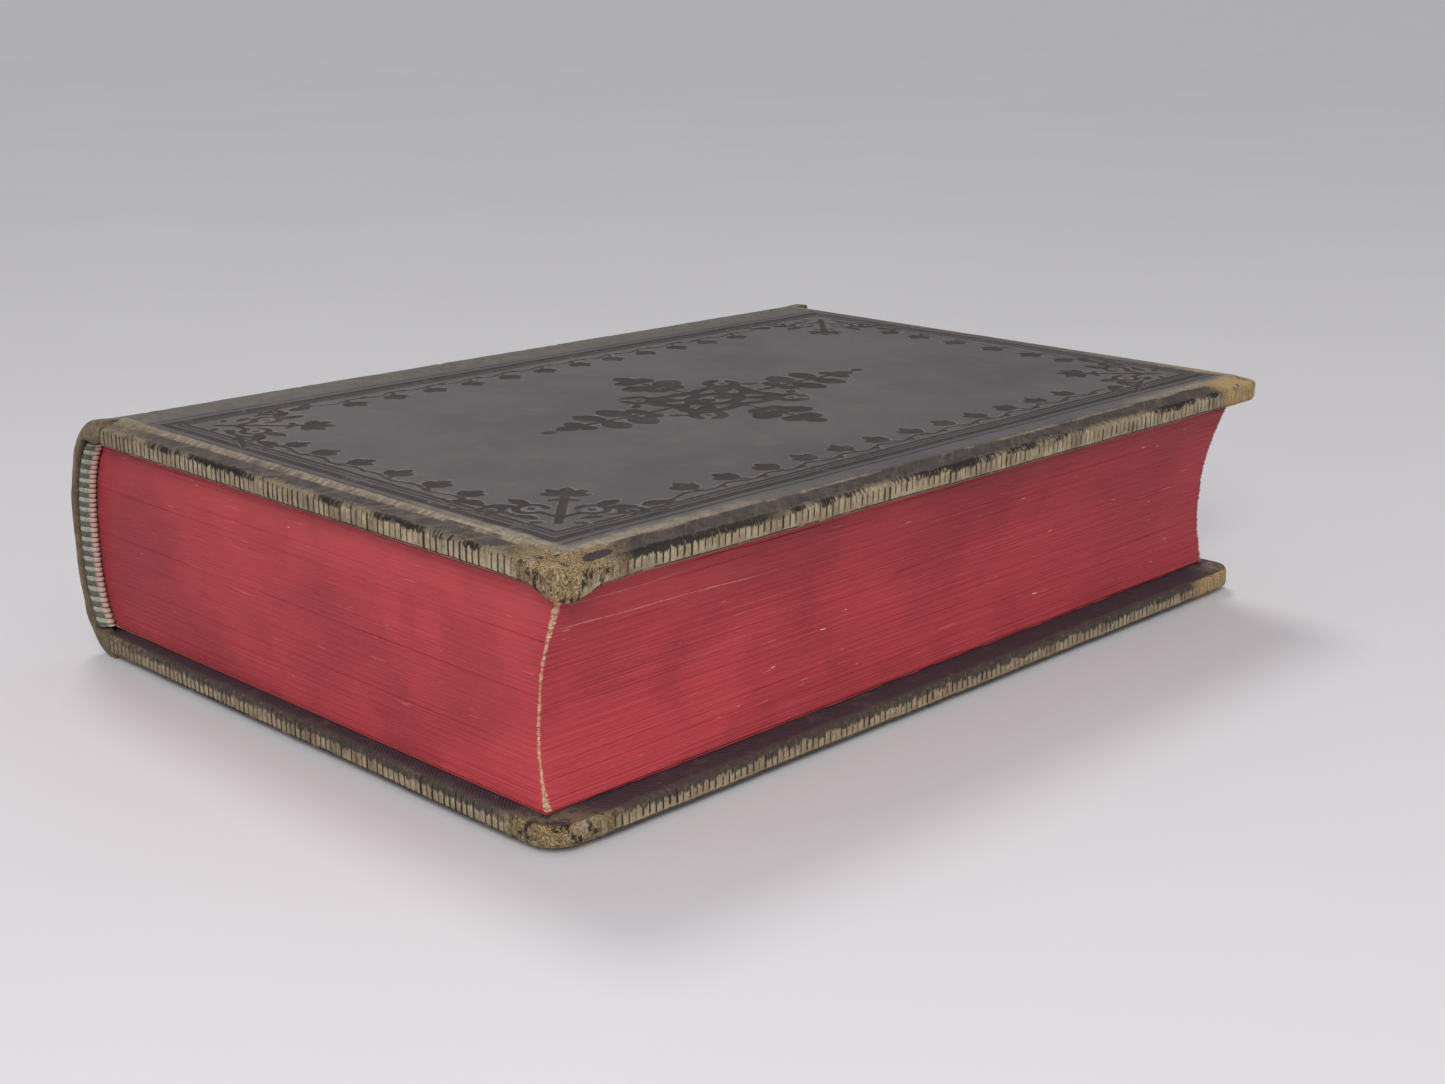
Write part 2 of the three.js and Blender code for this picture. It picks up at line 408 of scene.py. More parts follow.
def sprig(x, y, cx, cy, dx, dy, size):
    """A bud of three leaves on a short stem; (dx, dy) is the way it points."""
    px, py = x - cx, y - cy
    a, b = px * dx + py * dy, py * dx - px * dy
    return nearest(a, b, [
        (leaf, -1.5 * size, 0, 2.1 * size, 0.15 * size, 0.95 * size),
        (leaf, -1.5 * size, 0, 0.8 * size, -1.75 * size, 0.78 * size),
        (leaf, -1.5 * size, 0, 0.8 * size, 1.75 * size, 0.78 * size),
        (stroke, -1.2 * size, 0, -2.6 * size, 0.9 * size, 0.2),
    ])


def nearest(x, y, shapes):
    """Distance to the nearest of some shapes, each given as its function and its own numbers."""
    return np.minimum.reduce([shape(x, y, *numbers) for shape, *numbers in shapes])


FRAME_U = (5.4, 86.6)             # outermost tooled line, from the joint
FRAME_V = 66.0
FRAME_BAND = 4.1                  # width of the band of lines
ORNAMENT_U, ORNAMENT_V = 46.3, -0.9
BUD_PITCH = 6.9
NO_TOOLING = 3.0                  # the distance where nothing is stamped nearby

# One half of the corner's palmette: along its stem and away from it.
CORNER_SHAPES = [
    (stroke, 3.2, 0, 15.0, 0, 0.42),
    (leaf, 15.0, 0.1, 18.8, 0.0, 0.8),
    (leaf, 15.0, 0.1, 15.2 + 3.5 * math.cos(0.75), 3.5 * math.sin(0.75), 0.8),
    (leaf, 15.0, 0.1, 15.2 + 3.0 * math.cos(1.45), 3.0 * math.sin(1.45), 0.8),
    (stroke, 13.3, 0, 12.7, 1.5, 0.35),
    (curl, 9.0, 3.4, 1.7, 0.36, -1.9),
    (stroke, 6.0, 0.5, 7.7, 2.4, 0.3),
    (leaf, 10.4, 3.9, 13.4, 6.1, 0.85),
    (leaf, 9.8, 5.0, 10.6, 8.4, 0.8),
    (curl, 8.6, 7.9, 1.3, 0.34, 2.4),
    (leaf, 10.6, 9.0, 13.2, 11.2, 0.9),
    (leaf, 12.2, 10.0, 12.6, 13.4, 0.7),
    (leaf, 5.2, 2.2, 6.4, 4.8, 0.55),
    (leaf, 3.6, 1.6, 3.3, 3.4, 0.45),
    (stroke, 7.0, 5.4, 9.4, 12.0, 0.22),
]

# A quarter of the centre ornament: across the cover and along it.
CENTRE_SHAPES = [
    (leaf, -0.9, 0.0, 0.9, 2.4, 0.9),
    (leaf, 3.2, 0.2, 6.4, 0.2, 0.75),
    (leaf, 0.1, 4.2, 0.1, 8.4, 0.75),
    (leaf, 2.4, 3.4, 5.4, 7.8, 1.2),
    (curl, 6.9, 8.3, 2.0, 0.75, 0.8),
    (leaf, 5.0, 10.0, 3.2, 12.6, 0.6),
    (stroke, 6.5, 0, 19.4, 0, 0.32),
    (stroke, 0, 9.0, 0, 29.0, 0.32),
    (leaf, 17.0, 0, 20.6, 0, 1.5),
    (leaf, 0, 25.6, 0, 29.2, 1.3),
    (leaf, 0, 29.4, 0, 31.8, 0.8),
]
for start, spread, half in ((9.0, 3.4, 1.2), (11.8, 5.4, 1.9), (15.6, 3.2, 1.5)):
    CENTRE_SHAPES.append((leaf, start, 0.2, start + 1.6, spread, half))
for start, spread, half in ((12.8, 3.2, 1.2), (16.0, 5.6, 2.0), (20.6, 5.2, 1.9), (24.6, 2.6, 1.2)):
    CENTRE_SHAPES.append((leaf, 0.3, start, spread, start + 1.3, half))


def tooling(u, v):
    """Distance to the nearest stamped shape, except the straight lines, which the shader draws."""
    flat = np.full(np.shape(u), NO_TOOLING)
    inner_u = FRAME_U[1] - FRAME_BAND
    x, y = np.abs(u - ORNAMENT_U), v - ORNAMENT_V
    reach = inner_u - ORNAMENT_U
    in_u, in_v = reach - x, FRAME_V - FRAME_BAND - np.abs(v)
    up = np.abs(y)

    # along the long sides: a running vine with a bud at each wave
    waves = np.abs(in_u - 1.35 - 0.45 * np.sin(2 * math.pi * y / BUD_PITCH)) - 0.2
    side = np.where(up < 45, waves, NO_TOOLING)
    for k in range(-6, 6):
        centre = (k + 0.5) * BUD_PITCH
        tilt = -0.22 if k % 2 else 0.12
        near = np.abs(y - centre) < 5
        shape = sprig(in_u[near], y[near], 3.9, centre, math.cos(tilt), math.sin(tilt), 1.0)
        side[near] = np.minimum(side[near], shape)
        knot = np.hypot(in_u[near] - 1.0, y[near] - centre - BUD_PITCH / 2) - 0.5
        side[near] = np.minimum(side[near], knot)
    flat = np.minimum(flat, side)

    # along head and tail
    waves = np.abs(in_v - 1.2 - 0.4 * np.sin(2 * math.pi * x / 7.5)) - 0.2
    ends = np.where(x < 31, waves, NO_TOOLING)
    for centre, size in ((3.8, 1.0), (11.2, 1.0), (17.4, 0.9)):
        near = np.abs(x - centre) < 5
        shape = sprig(in_v[near], x[near], 3.5, centre, 0.98, -0.18, size)
        ends[near] = np.minimum(ends[near], shape)
    flat = np.minimum(flat, ends)

    # a palmette on a stem out of each corner, between scrolls and leaves
    near = (in_u < 24) & (in_v < 22)
    a, b = in_u[near], in_v[near]
    d, e = (a + b) * math.sqrt(0.5), np.abs(a - b) * math.sqrt(0.5)
    shape = nearest(d, e, CORNER_SHAPES)
    flat[near] = np.minimum(flat[near], shape)

    # the centre: a lobed medallion, its four arms and the leaves on them
    near = (x < 24) & (up < 34)
    a, b = x[near], up[near]
    lobes = np.abs(np.hypot(a / 0.72, b) - 8.6 - 1.5 * np.cos(4 * np.arctan2(b, a / 0.72) - math.pi)) - 1.35
    shape = np.minimum(lobes, nearest(a, b, CENTRE_SHAPES))
    shape = np.minimum(shape, ring(a, b / 1.3, 0, 0, 3.0, 0.8))
    flat[near] = np.minimum(flat[near], shape)
    return np.clip(flat, -1.5, NO_TOOLING)


# ---- materials -------------------------------------------------------------------------

TICK_PITCH = 1.04

PANEL = rgb(84, 76, 75)
PANEL_DARK = rgb(72, 65, 65)
PANEL_RUBBED = rgb(100, 92, 88)
SCUFF = rgb(122, 110, 100)
TOOLED = rgb(48, 38, 37)
RUBBED_BROWN = rgb(98, 83, 66)
TAN = rgb(140, 124, 99)
TAN_PALE = rgb(164, 149, 122)
OCHRE = rgb(146, 119, 76)
BLACKENED = rgb(17, 13, 13)
BEVEL = rgb(52, 43, 38)
TURNED = rgb(72, 59, 65)


def cover_material(name, lip):
    """Worn black leather over a bevelled board.

    The mesh holds rest, which is (from the joint, along the height, depth below the face), and rim, which
    is (along the edge, out past the arris). lip is how dark and ragged the inner border of the edge is.
    """
    s = Shader(name)
    place, (u, v, w) = s.attribute("rest")
    _, (along, out, _) = s.attribute("rim")
    tool = s.number("tool")
    broad = s.noise(place, 0.035, 3.0)
    cloud = s.noise(place, 0.16, 4.0)
    patch = s.noise(place, 0.45, 5.0, 0.65)
    fine = s.noise(place, 1.6, 5.0, 0.65)
    grain = s.cells(place, 2.6)
    fibre = s.noise(place, 6.0, 3.0, 0.7)
    up = s.size(v)

    # the smooth panel
    colour = s.mix(s.step(broad, 0.35, 0.68), PANEL, PANEL_DARK)
    colour.paint(s.step(cloud, 0.5, 0.78) * 0.5, PANEL_RUBBED)
    scuffs = s.step(s.noise(s.vector(u * 0.18, v * 1.5, w), 1.0, 4.0, 0.7), 0.66, 0.74)
    colour.paint(scuffs * s.step(patch, 0.45, 0.6) * 0.4, SCUFF)
    specks = s.step(fine, 0.72, 0.80)
    colour.paint(specks * 0.5, SCUFF)

    # straight tooled lines, outermost first
    inside = s.low(s.low(FRAME_U[1] - u, u - FRAME_U[0]), FRAME_V - up)
    lines = s.band(inside, 0.0, 0.16, 0.08) * 0.9
    lines = s.high(lines, s.band(inside, 1.75, 0.48, 0.1))
    lines = s.high(lines, s.band(inside, 2.95, 0.2, 0.08))
    lines = s.high(lines, s.band(inside, 3.75, 0.26, 0.08))
    lines = lines * s.step(inside, -0.6, -0.2) * s.step(patch + cloud, 0.72, 0.92)
    stamped = s.step(tool + (fine - 0.5) * 0.3, 0.12, -0.06)
    tooled = s.high(lines, stamped)
    fading = s.step(cloud, 0.66, 0.4)
    tooled_strength = tooled * (0.78 + fading * 0.22)
    colour.paint(tooled_strength * 0.92, TOOLED)
    # painted highlight: a pale rim along the lips of the tooled lines and stamps
    lips = s.high(s.band(inside, 3.35, 0.1, 0.08), s.band(inside, 4.15, 0.1, 0.1))
    lips = s.high(lips, s.band(tool, 0.24, 0.1, 0.08)) * s.step(out, -0.4, -0.8)
    colour.paint(lips * s.step(patch, 0.42, 0.6) * 0.4, rgb(138, 126, 120))
    bed = s.step(inside, -0.1, 0.1) * s.step(inside, 4.2, 4.0)
    colour.paint(bed * 0.25, TOOLED)

    # how worn each place is: the outer corners, the ends by the joint
    corner = s.math("SQRT", (u - BOARD_WIDTH) * (u - BOARD_WIDTH) + (up - HALF) * (up - HALF))
    at_head = s.step(v, 50.0, 60.0)
    wear = s.step(corner + (patch - 0.5) * 8 - at_head * 5, 11.5, 5.0)
    joint_wear = s.step(u + (patch - 0.5) * 12, 13.0, 3.0) * s.step(out, -1.2, 0.4)
    streak = s.noise(s.vector(along * 1.5, out * 0.35, 0.0), 1.0, 4.0, 0.7)
    slant = s.noise(s.vector(along * 0.9 + out * 1.1, out * 0.25, 0.3), 1.0, 4.0, 0.7)
    stretch = s.noise(s.vector(along * 0.055, 0.0, 0.0), 1.0, 3.0, 0.6)
    fore_side = s.step(u, 85.0, 88.0)

    # rubbed margin inside the arris, near the corners and along the joint
    margin = s.step(out + (patch - 0.5) * 2.2, -2.4, -0.2) * s.step(corner + (cloud - 0.5) * 26, 40.0, 14.0)
    colour.paint(margin * s.step(fine, 0.3, 0.5) * 0.75, s.mix(s.step(patch, 0.4, 0.6), TAN, TAN_PALE))
    strip = s.step(u + (patch - 0.5) * 3.0, 5.6, 3.4)
    rubbed_strip = s.mix(s.step(patch, 0.42, 0.66), rgb(80, 69, 58), rgb(106, 93, 76))
    colour.paint(strip * s.step(cloud, 0.28, 0.5) * 0.75, rubbed_strip)

    # the bevel: dark and mottled, crossed by slanting rubbed strokes
    on_bevel = s.step(out + (fine - 0.5) * 0.3, 0.05, 0.35)
    bevel = s.mix(s.step(patch, 0.42, 0.6), BEVEL, rgb(70, 59, 55))
    tanned = 1 - fore_side * 0.5
    bevel.paint(s.step(slant, 0.54, 0.62) * 0.45 * tanned, rgb(120, 104, 82))
    bevel.paint(s.step(fine, 0.58, 0.68) * 0.4 * tanned, rgb(112, 98, 80))
    bevel.paint(s.step(out + (streak - 0.5) * 3.2, 2.2, 3.3) * s.step(stretch, 0.62, 0.44) * 0.85, TAN)
    colour.paint(on_bevel, bevel)
    arris_width = 0.75 + (patch - 0.5) * 0.8 + (wear + joint_wear) * 0.6 - fore_side * 0.5
    off_arris = s.size(out - 0.15 - fore_side * 0.1) + (streak - 0.5) * 0.7
    arris = s.step(off_arris, arris_width + 0.15, arris_width - 0.25)
    arris = arris * s.step(cloud + wear * 0.3 - fore_side * 0.08, 0.36, 0.48)
    hatched = s.mix(s.step(streak, 0.42, 0.62), rgb(112, 98, 82), rgb(160, 144, 120))
    colour.paint(arris * 0.85, s.mix(s.step(fine, 0.55, 0.75) * 0.7, hatched, rgb(92, 80, 68)))

    # the edge of the board: tan, crossed by short dark strokes with ragged heads
    spikes = (streak - 0.5) * 1.6 + (patch - 0.5) * 1.2
    on_edge = s.step(out + spikes * (1 - fore_side * 0.5) + fore_side * 0.35, 3.35, 3.6)
    edge = s.mix(s.step(patch, 0.4, 0.62), TAN, TAN_PALE)
    edge.paint(s.step(cloud, 0.5, 0.66) * 0.6, RUBBED_BROWN)
    edge.paint(s.step(fine, 0.58, 0.7) * 0.5, BEVEL)
    colour.paint(on_edge, edge)
    jitter = (s.noise(s.vector(along * 0.5, 0.0, 0.0), 1.0, 3.0, 0.7) - 0.5) * 4.5
    teeth = s.wave(along * (2 * math.pi / TICK_PITCH) + jitter + (fine - 0.5) * 1.1 + out * 0.15)
    weight = s.noise(s.vector(along * 0.8, 0.7, 0.0), 1.0, 2.0, 0.6)
    threshold = 0.94 - s.step(weight, 0.3, 0.75) * 0.5
    stroke_mask = s.step(teeth, threshold, threshold + 0.14)
    bars = s.noise(s.vector(along * (0.9 / TICK_PITCH), 0.0, 4.0), 1.0, 1.0, 0.5)
    colour.paint(on_edge * s.step(bars, 0.56, 0.66) * 0.35, rgb(128, 96, 88))
    colour.paint(on_edge * s.step(bars, 0.42, 0.34) * 0.35, rgb(112, 108, 102))
    reach_low = s.step(out + (weight - 0.5) * -2.6 + fore_side * 0.4, 5.5, 5.1)
    reach_top = s.step(out + spikes * 0.8 - fore_side * 0.35, 3.1, 3.5)
    strokes = stroke_mask * reach_low * reach_top * s.step(stretch + (patch - 0.5) * 0.3, 0.24, 0.36)
    heads = s.step(s.size(out + spikes * 1.3 - 3.25), 0.6, 0.3)
    heads = heads * s.step(stretch, 0.36, 0.5)
    heads = heads * s.step(streak + s.step(stretch, 0.42, 0.6) * 0.2, 0.55, 0.64)
    near_fore = fore_side * s.band(v, -50.0, 13.0, 4.0)
    blotted = s.step(s.size(out + (streak - 0.5) * 2.2 - 3.2), 0.7, 0.4) * near_fore
    heads = s.high(heads, blotted * s.step(patch + streak, 0.8, 0.94)) * (1 - lip)
    inner_heads = s.step(out + spikes * 1.5, 4.6, 5.0) * lip * (1 - wear * 0.8)
    black = s.high(strokes, heads) * (1 - wear * 0.6)
    line_place = 5.4 - lip * 2.1
    lower = s.step(s.size(out + (fine - 0.5) * 0.3 - line_place), 0.17, 0.07) * s.step(patch, 0.36, 0.46)
    colour.paint(s.high(black * 0.94, lower * 0.8), BLACKENED)
    colour.paint(inner_heads * 0.9, s.mix(s.step(fine, 0.5, 0.7), rgb(48, 40, 40), rgb(92, 80, 72)))

    # bare ochre corners, speckled dark
    worn = s.mix(s.step(patch, 0.36, 0.62), OCHRE, rgb(168, 146, 112))
    worn.paint(at_head * 0.6, rgb(190, 158, 104))
    grit = s.noise(place, 5.2, 2.0, 0.65)
    worn.paint(s.step(grit, 0.42, 0.55) * (0.9 - at_head * 0.5), rgb(88, 71, 50))
    blots = s.step(s.noise(place, 0.72, 5.0, 0.75) + s.step(out, 2.5, 5.0) * 0.06, 0.56, 0.59)
    worn.paint(blots * (1 - at_head * 0.7) * 0.9, BLACKENED)
    bare = wear * s.step(out, -1.3, 0.4) * s.step(s.noise(place, 0.34, 3.0, 0.5), 0.36, 0.42)
    colour.paint(bare * (1 - strokes * 0.8), worn)

    # one island of dark leather left on the near corner's bevel
    island_v, island_out = (v + 63.6) / 1.9, (out - 1.5) / 0.75
    island = island_v * island_v + island_out * island_out + (patch - 0.5) * 1.6
    colour.paint(s.step(island, 1.15, 0.85) * fore_side * (1 - lip) * 0.9, rgb(40, 32, 34))

    # brown rubbing by the joint
    brown = s.mix(s.step(fine, 0.42, 0.6), RUBBED_BROWN, TAN)
    colour.paint(joint_wear * (1 - black) * s.step(patch, 0.3, 0.5) * 0.75, brown)

    # the leather turned in over the board, hatched by a fillet wheel
    turned = s.step(out, 5.75, 6.1)
    hatch = s.wave((along + out * 0.9) * (2 * math.pi / 0.55))
    inner = s.mix(s.step(hatch, -0.2, 0.6) * 0.6, TURNED, rgb(40, 30, 34))
    inner.paint(s.step(patch, 0.52, 0.7) * 0.5, rgb(98, 82, 80))
    rubbed = s.step(out + (fine - 0.5) * 0.8, 6.8, 6.2)
    inner.paint(rubbed * (0.7 - lip * 0.6), TAN)
    inner.paint(s.step(corner, 10.0, 4.0) * s.step(patch, 0.4, 0.55) * 0.6, TAN)
    colour.paint(turned, inner)

    # roughness and relief
    rough = 0.42 + cloud * 0.14 + (fine - 0.5) * 0.14 + tooled_strength * 0.3
    rough = rough + s.step(out, 0.0, 0.4) * 0.16 + (arris + bare) * 0.12
    relief = 0.55 - tooled * 0.28 + lips * 0.06 + (fine - 0.5) * 0.1 + (patch - 0.5) * 0.12
    relief = relief + s.step(grain, 0.0, 0.5) * 0.05 + (fibre - 0.5) * 0.05
    relief = relief - black * 0.34 - lower * 0.2 - on_bevel * (slant - 0.5) * 0.3 * (1 - turned)
    relief = relief + turned * s.step(hatch, -0.4, 0.6) * 0.18 + (arris + bare) * (fine - 0.5) * 0.3
    return s.finish(colour, rough, relief, 0.34, 0.3)


def spine_material():
    """rest is the place on the closed book; skin is (height, in from the nearest end, depth)."""
    s = Shader("spine_leather")
    place, (x, y, z) = s.attribute("rest")
    _, (_, from_end, depth) = s.attribute("skin")
    cloud = s.noise(place, 0.10, 4.0)
    patch = s.noise(place, 0.42, 5.0, 0.65)
    fine = s.noise(place, 1.7, 5.0, 0.65)
    grain = s.cells(place, 2.4)
    fibre = s.noise(place, 6.0, 3.0, 0.7)
    colour = s.mix(s.step(cloud, 0.3, 0.7), rgb(72, 65, 64), rgb(84, 76, 72))
    colour.paint(s.step(patch, 0.42, 0.78) * 0.35, rgb(102, 91, 80))
    colour.paint(s.step(fine, 0.6, 0.75) * 0.4, rgb(50, 43, 40))
    lengthwise = s.noise(s.vector(z * 0.9, y * 0.06, x * 0.9), 1.0, 4.0, 0.65)
    colour.paint(s.step(lengthwise, 0.52, 0.7) * 0.35, rgb(104, 94, 84))
    shoulder = s.high(s.band(z, 1.2, 1.6, 0.9), s.band(z, BOOK_THICKNESS - 1.2, 1.6, 0.9))
    rub = shoulder * s.step(patch, 0.32, 0.56)
    colour.paint(rub * 0.45, s.mix(s.step(patch, 0.42, 0.66), RUBBED_BROWN, rgb(118, 104, 84)))
    cracks = s.step(s.noise(s.vector(z * 2.6, y * 0.22, x), 1.0, 4.0, 0.7), 0.62, 0.68)
    colour.paint(cracks * 0.5, rgb(36, 30, 27))

    # simple blind lines across the spine, and the worn caps at head and tail
    y_away = s.size(y)
    lines = s.band(y_away, 62.5, 0.22, 0.1)
    for place_y in (60.9, 37.4, 35.8, 12.4, 10.8):
        lines = s.high(lines, s.band(y_away, place_y, 0.2, 0.1))
    lines = lines * s.step(depth, 0.3, 0.1)
    colour.paint(lines * 0.75, rgb(34, 28, 27))
    cap = s.step(from_end + (patch - 0.5) * 3.0, 3.4, 0.9)
    capped = s.mix(s.step(patch, 0.36, 0.62), rgb(92, 75, 54), rgb(126, 108, 80))
    capped.paint(s.step(fine, 0.5, 0.66) * 0.8, rgb(66, 55, 46))
    colour.paint(cap * 0.85, capped)
    inside = s.step(depth, 0.75, 0.95)
    colour.paint(inside * 0.9, s.mix(s.step(fine, 0.4, 0.6), rgb(74, 58, 46), rgb(98, 80, 62)))
    rough = 0.5 + cloud * 0.12 + (fine - 0.5) * 0.2 + cap * 0.12
    relief = 0.5 - lines * 0.3 - cracks * 0.12 + (fine - 0.5) * 0.2 + (patch - 0.5) * 0.2
    relief = relief + s.step(grain, 0.0, 0.5) * 0.08 + (fibre - 0.5) * 0.06
    return s.finish(colour, rough, relief, 0.34, 0.4)


STAIN = rgb(184, 62, 70)
STAIN_DARK = rgb(156, 49, 59)
STAIN_PALE = rgb(204, 92, 94)
PAGE = rgb(214, 199, 164)
PAGE_DARK = rgb(184, 160, 118)


def leaves_material():
    """Red-stained leaf edges on aged cream paper; the stain creeps a little way in from each edge."""
    s = Shader("leaf_edges")
    place, (x, y, z) = s.attribute("rest")
    fore = fore_edge_x(z) + lean(y, z, s.step) - x
    end = TEXT_END - s.size(y)
    run = s.vector(x * 0.018, y * 0.018, z)
    leaf_lines = s.noise(run, 3.4, 5.0, 0.8)
    thick_lines = s.noise(s.vector(x * 0.012, y * 0.012, z), 1.4, 3.0, 0.7)
    broad = s.noise(place, 0.045, 3.0)
    cloud = s.noise(place, 0.16, 4.0)
    fine = s.noise(place, 2.2, 4.0, 0.7)

    red = s.mix(s.step(broad, 0.38, 0.64), STAIN, STAIN_DARK)
    lined = 0.4 + s.step(fore, 1.2, 0.6) * s.step(y, 20.0, -40.0) * 0.45
    # painted light: the red is painted paler towards the top of the leaves, standing in for light that
    # reaches in under the front cover's edge
    red.paint(s.step(z + (cloud - 0.5) * 8, 20.0, 29.0) * 0.2, STAIN_PALE)
    red.paint(s.step(leaf_lines, 0.5, 0.72) * 0.5 * lined, STAIN_DARK)
    red.paint(s.step(leaf_lines, 0.5, 0.3) * 0.45 * lined, STAIN_PALE)
    red.paint(s.step(fine, 0.4, 0.7) * 0.22, rgb(176, 74, 72))
    red.paint(s.step(thick_lines, 0.55, 0.75) * 0.3, rgb(146, 44, 54))
    # painted shade: the red is darkened towards the spine and towards the head, standing in for the falloff
    # of the light from the camera side
    wander = (cloud - 0.5) * 30
    painted_falloff_shade = s.high(s.step(x + wander, 75.0, 5.0), s.step(y + wander, -50.0, 70.0))
    red.paint(painted_falloff_shade * 0.4, rgb(140, 46, 56))
    smudge = s.step(s.noise(s.vector(x * 0.06, y * 0.06, z * 0.2), 1.0, 5.0, 0.75), 0.6, 0.76)
    red.paint(smudge * s.step(leaf_lines, 0.4, 0.56) * 0.6, rgb(118, 30, 42))
    rubbed = s.step(s.noise(s.vector(x * 0.09, y * 0.09, z * 2.2), 1.6, 3.0, 0.7), 0.66, 0.74)
    red.paint(rubbed * 0.55, rgb(226, 132, 124))
    nicked = s.step(s.noise(s.vector(x * 0.24, y * 0.24, z * 3.0), 1.3, 1.0, 0.5), 0.79, 0.81)
    red.paint(nicked * 0.9, PAGE)
    drift = (s.noise(s.vector(0.0, y * 0.03, 0.0), 1.0, 2.0, 0.5) - 0.5) * 1.2
    scratch = s.band(z + 0.03 * (y + 66) + drift, 24.6, 0.045, 0.05) * s.step(y, -28.0, -44.0)
    scratch = s.high(scratch, s.band(z + drift * 1.6, 27.3, 0.03, 0.05) * s.step(y, -42.0, -52.0) * 0.7)
    scratch = scratch * s.step(y, -66.5, -64.5) * s.step(fore, 2.0, 1.0)
    red.paint(scratch * s.step(fine, 0.36, 0.5) * 0.8, rgb(226, 170, 150))

    # bare, frayed corners where the stain has worn off
    corner = s.high(fore, end)
    ragged = (s.noise(s.vector(0.0, 0.0, z), 0.9, 4.0, 0.8) - 0.5) * 0.7 + (fine - 0.5) * 0.3
    wide = 0.46 + s.step(z, 21.0, 27.0) * 0.3 + s.step(z, 7.0, 3.5) * 0.4
    frayed = s.step(corner + ragged - wide, 0.0, -0.2)
    red.paint(frayed * 0.9, s.mix(s.step(fine, 0.42, 0.62), rgb(212, 178, 146), rgb(164, 122, 96)))

    page = s.mix(s.step(broad, 0.3, 0.7) * 0.4, PAGE, PAGE_DARK)
    page.paint((fine - 0.3) * 0.25, PAGE_DARK)
    foxing = s.step(s.noise(place, 0.28, 2.0, 0.6), 0.7, 0.8)
    page.paint(foxing * 0.3, rgb(168, 128, 82))
    inward = s.low(fore, end)
    page.paint(s.step(inward + (cloud - 0.5) * 5, 9.0, 0.4) * 0.35, rgb(172, 136, 92))
    stained = s.step(inward + (fine - 0.5) * 0.4, 0.62, 0.34)
    colour = s.mix(stained, page, red)
    relief = leaf_lines * 0.5 + (fine - 0.5) * 0.2 + 0.3 - frayed * 0.2
    return s.finish(colour, 0.62 + (leaf_lines - 0.5) * 0.2, relief, 0.22, 0.35)


def paper_material(name, light, dark, stained=True):
    """Aged endpaper: foxed, browned round its edges, red along the three outer edges if stained."""
    s = Shader(name)
    place, _ = s.attribute("rest")
    cloud = s.noise(place, 0.07, 4.0)
    fine = s.noise(place, 3.0, 4.0, 0.7)
    mould = s.noise(place, 0.32, 4.0, 0.7)
    colour = s.mix(s.step(cloud, 0.25, 0.75) * 0.45, light, dark)
    colour.paint(s.step(mould, 0.7, 0.8) * 0.3, rgb(158, 118, 74))
    colour.paint(s.step(fine, 0.5, 0.75) * 0.25, rgb(178, 156, 116))
    rim = s.number("from_edge")
    colour.paint(s.step(rim + (cloud - 0.5) * 6, 6.0, 0.5) * 0.4, rgb(166, 132, 90))
    if stained:
        colour.paint(s.step(rim + (fine - 0.5) * 0.5, 0.4, 0.15), STAIN)
    relief = 0.5 + (fine - 0.5) * 0.4 + (cloud - 0.5) * 0.2
    return s.finish(colour, 0.78 + (fine - 0.5) * 0.15, relief, 0.08, 0.3)


def headband_material():
    """Silk wound over a cord: pale and dark green-grey turns, as the `turn` attribute counts them."""
    s = Shader("headband_silk")
    place, _ = s.attribute("rest")
    turn = s.number("turn")
    fine = s.noise(place, 3.2, 4.0, 0.7)
    fibre = s.noise(place, 9.0, 3.0, 0.7)
    phase = s.wave(turn * (2 * math.pi) + (fine - 0.5) * 0.8)
    pale = s.mix(s.step(fine, 0.4, 0.65), rgb(158, 158, 142), rgb(128, 130, 116))
    dark = s.mix(s.step(fine, 0.4, 0.65), rgb(92, 98, 86), rgb(62, 66, 60))
    colour = s.mix(s.step(phase, -0.35, 0.4), dark, pale)
    # painted shadow: a dark line between neighbouring turns of the silk
    gap = s.step(s.size(phase), 0.35, 0.05)
    colour.paint(gap * 0.6, rgb(48, 50, 46))
    bead = s.number("bead")
    colour.paint(bead, s.mix(s.step(s.size(phase), 0.2, 0.5), rgb(132, 66, 68), rgb(196, 168, 158)))
    relief = 0.5 + (fibre - 0.5) * 0.5 + (fine - 0.5) * 0.3
    return s.finish(colour, 0.6 + (fine - 0.5) * 0.2, relief, 0.12, 0.35)


def weave_material(name, light, dark, pitch):
    """Coarse linen, for the spine lining and the tapes."""
    s = Shader(name)
    place, (_, y, z) = s.object_place()
    turns_per_metre = 2 * math.pi * MM_IN_M / pitch
    warp = s.wave(y * turns_per_metre)
    weft = s.wave(z * turns_per_metre)
    patch = s.noise(place, 300.0, 4.0, 0.7)
    colour = s.mix(s.step(warp * weft + (patch - 0.5), -0.3, 0.5), dark, light)
    colour.paint(s.step(patch, 0.5, 0.7) * 0.5, rgb(150, 126, 88))
    relief = 0.5 + warp * weft * 0.4 + (patch - 0.5) * 0.3
    return s.finish(colour, 0.85 + (patch - 0.5) * 0.1, relief, 0.12, 0.25)


def board_material():
    s = Shader("board_pulp")
    place, _ = s.object_place()
    patch = s.noise(place, 250.0, 4.0, 0.7)
    fibre = s.noise(place, 2500.0, 4.0, 0.7)
    colour = s.mix(s.step(patch, 0.4, 0.65), rgb(150, 132, 100), rgb(122, 104, 76))
    colour.paint(s.step(fibre, 0.6, 0.7) * 0.4, rgb(90, 76, 56))
    return s.finish(colour, 0.9 + (fibre - 0.5) * 0.1, 0.5 + (fibre - 0.5) * 0.6, 0.1, 0.2)


# ---- covers ----------------------------------------------------------------------------

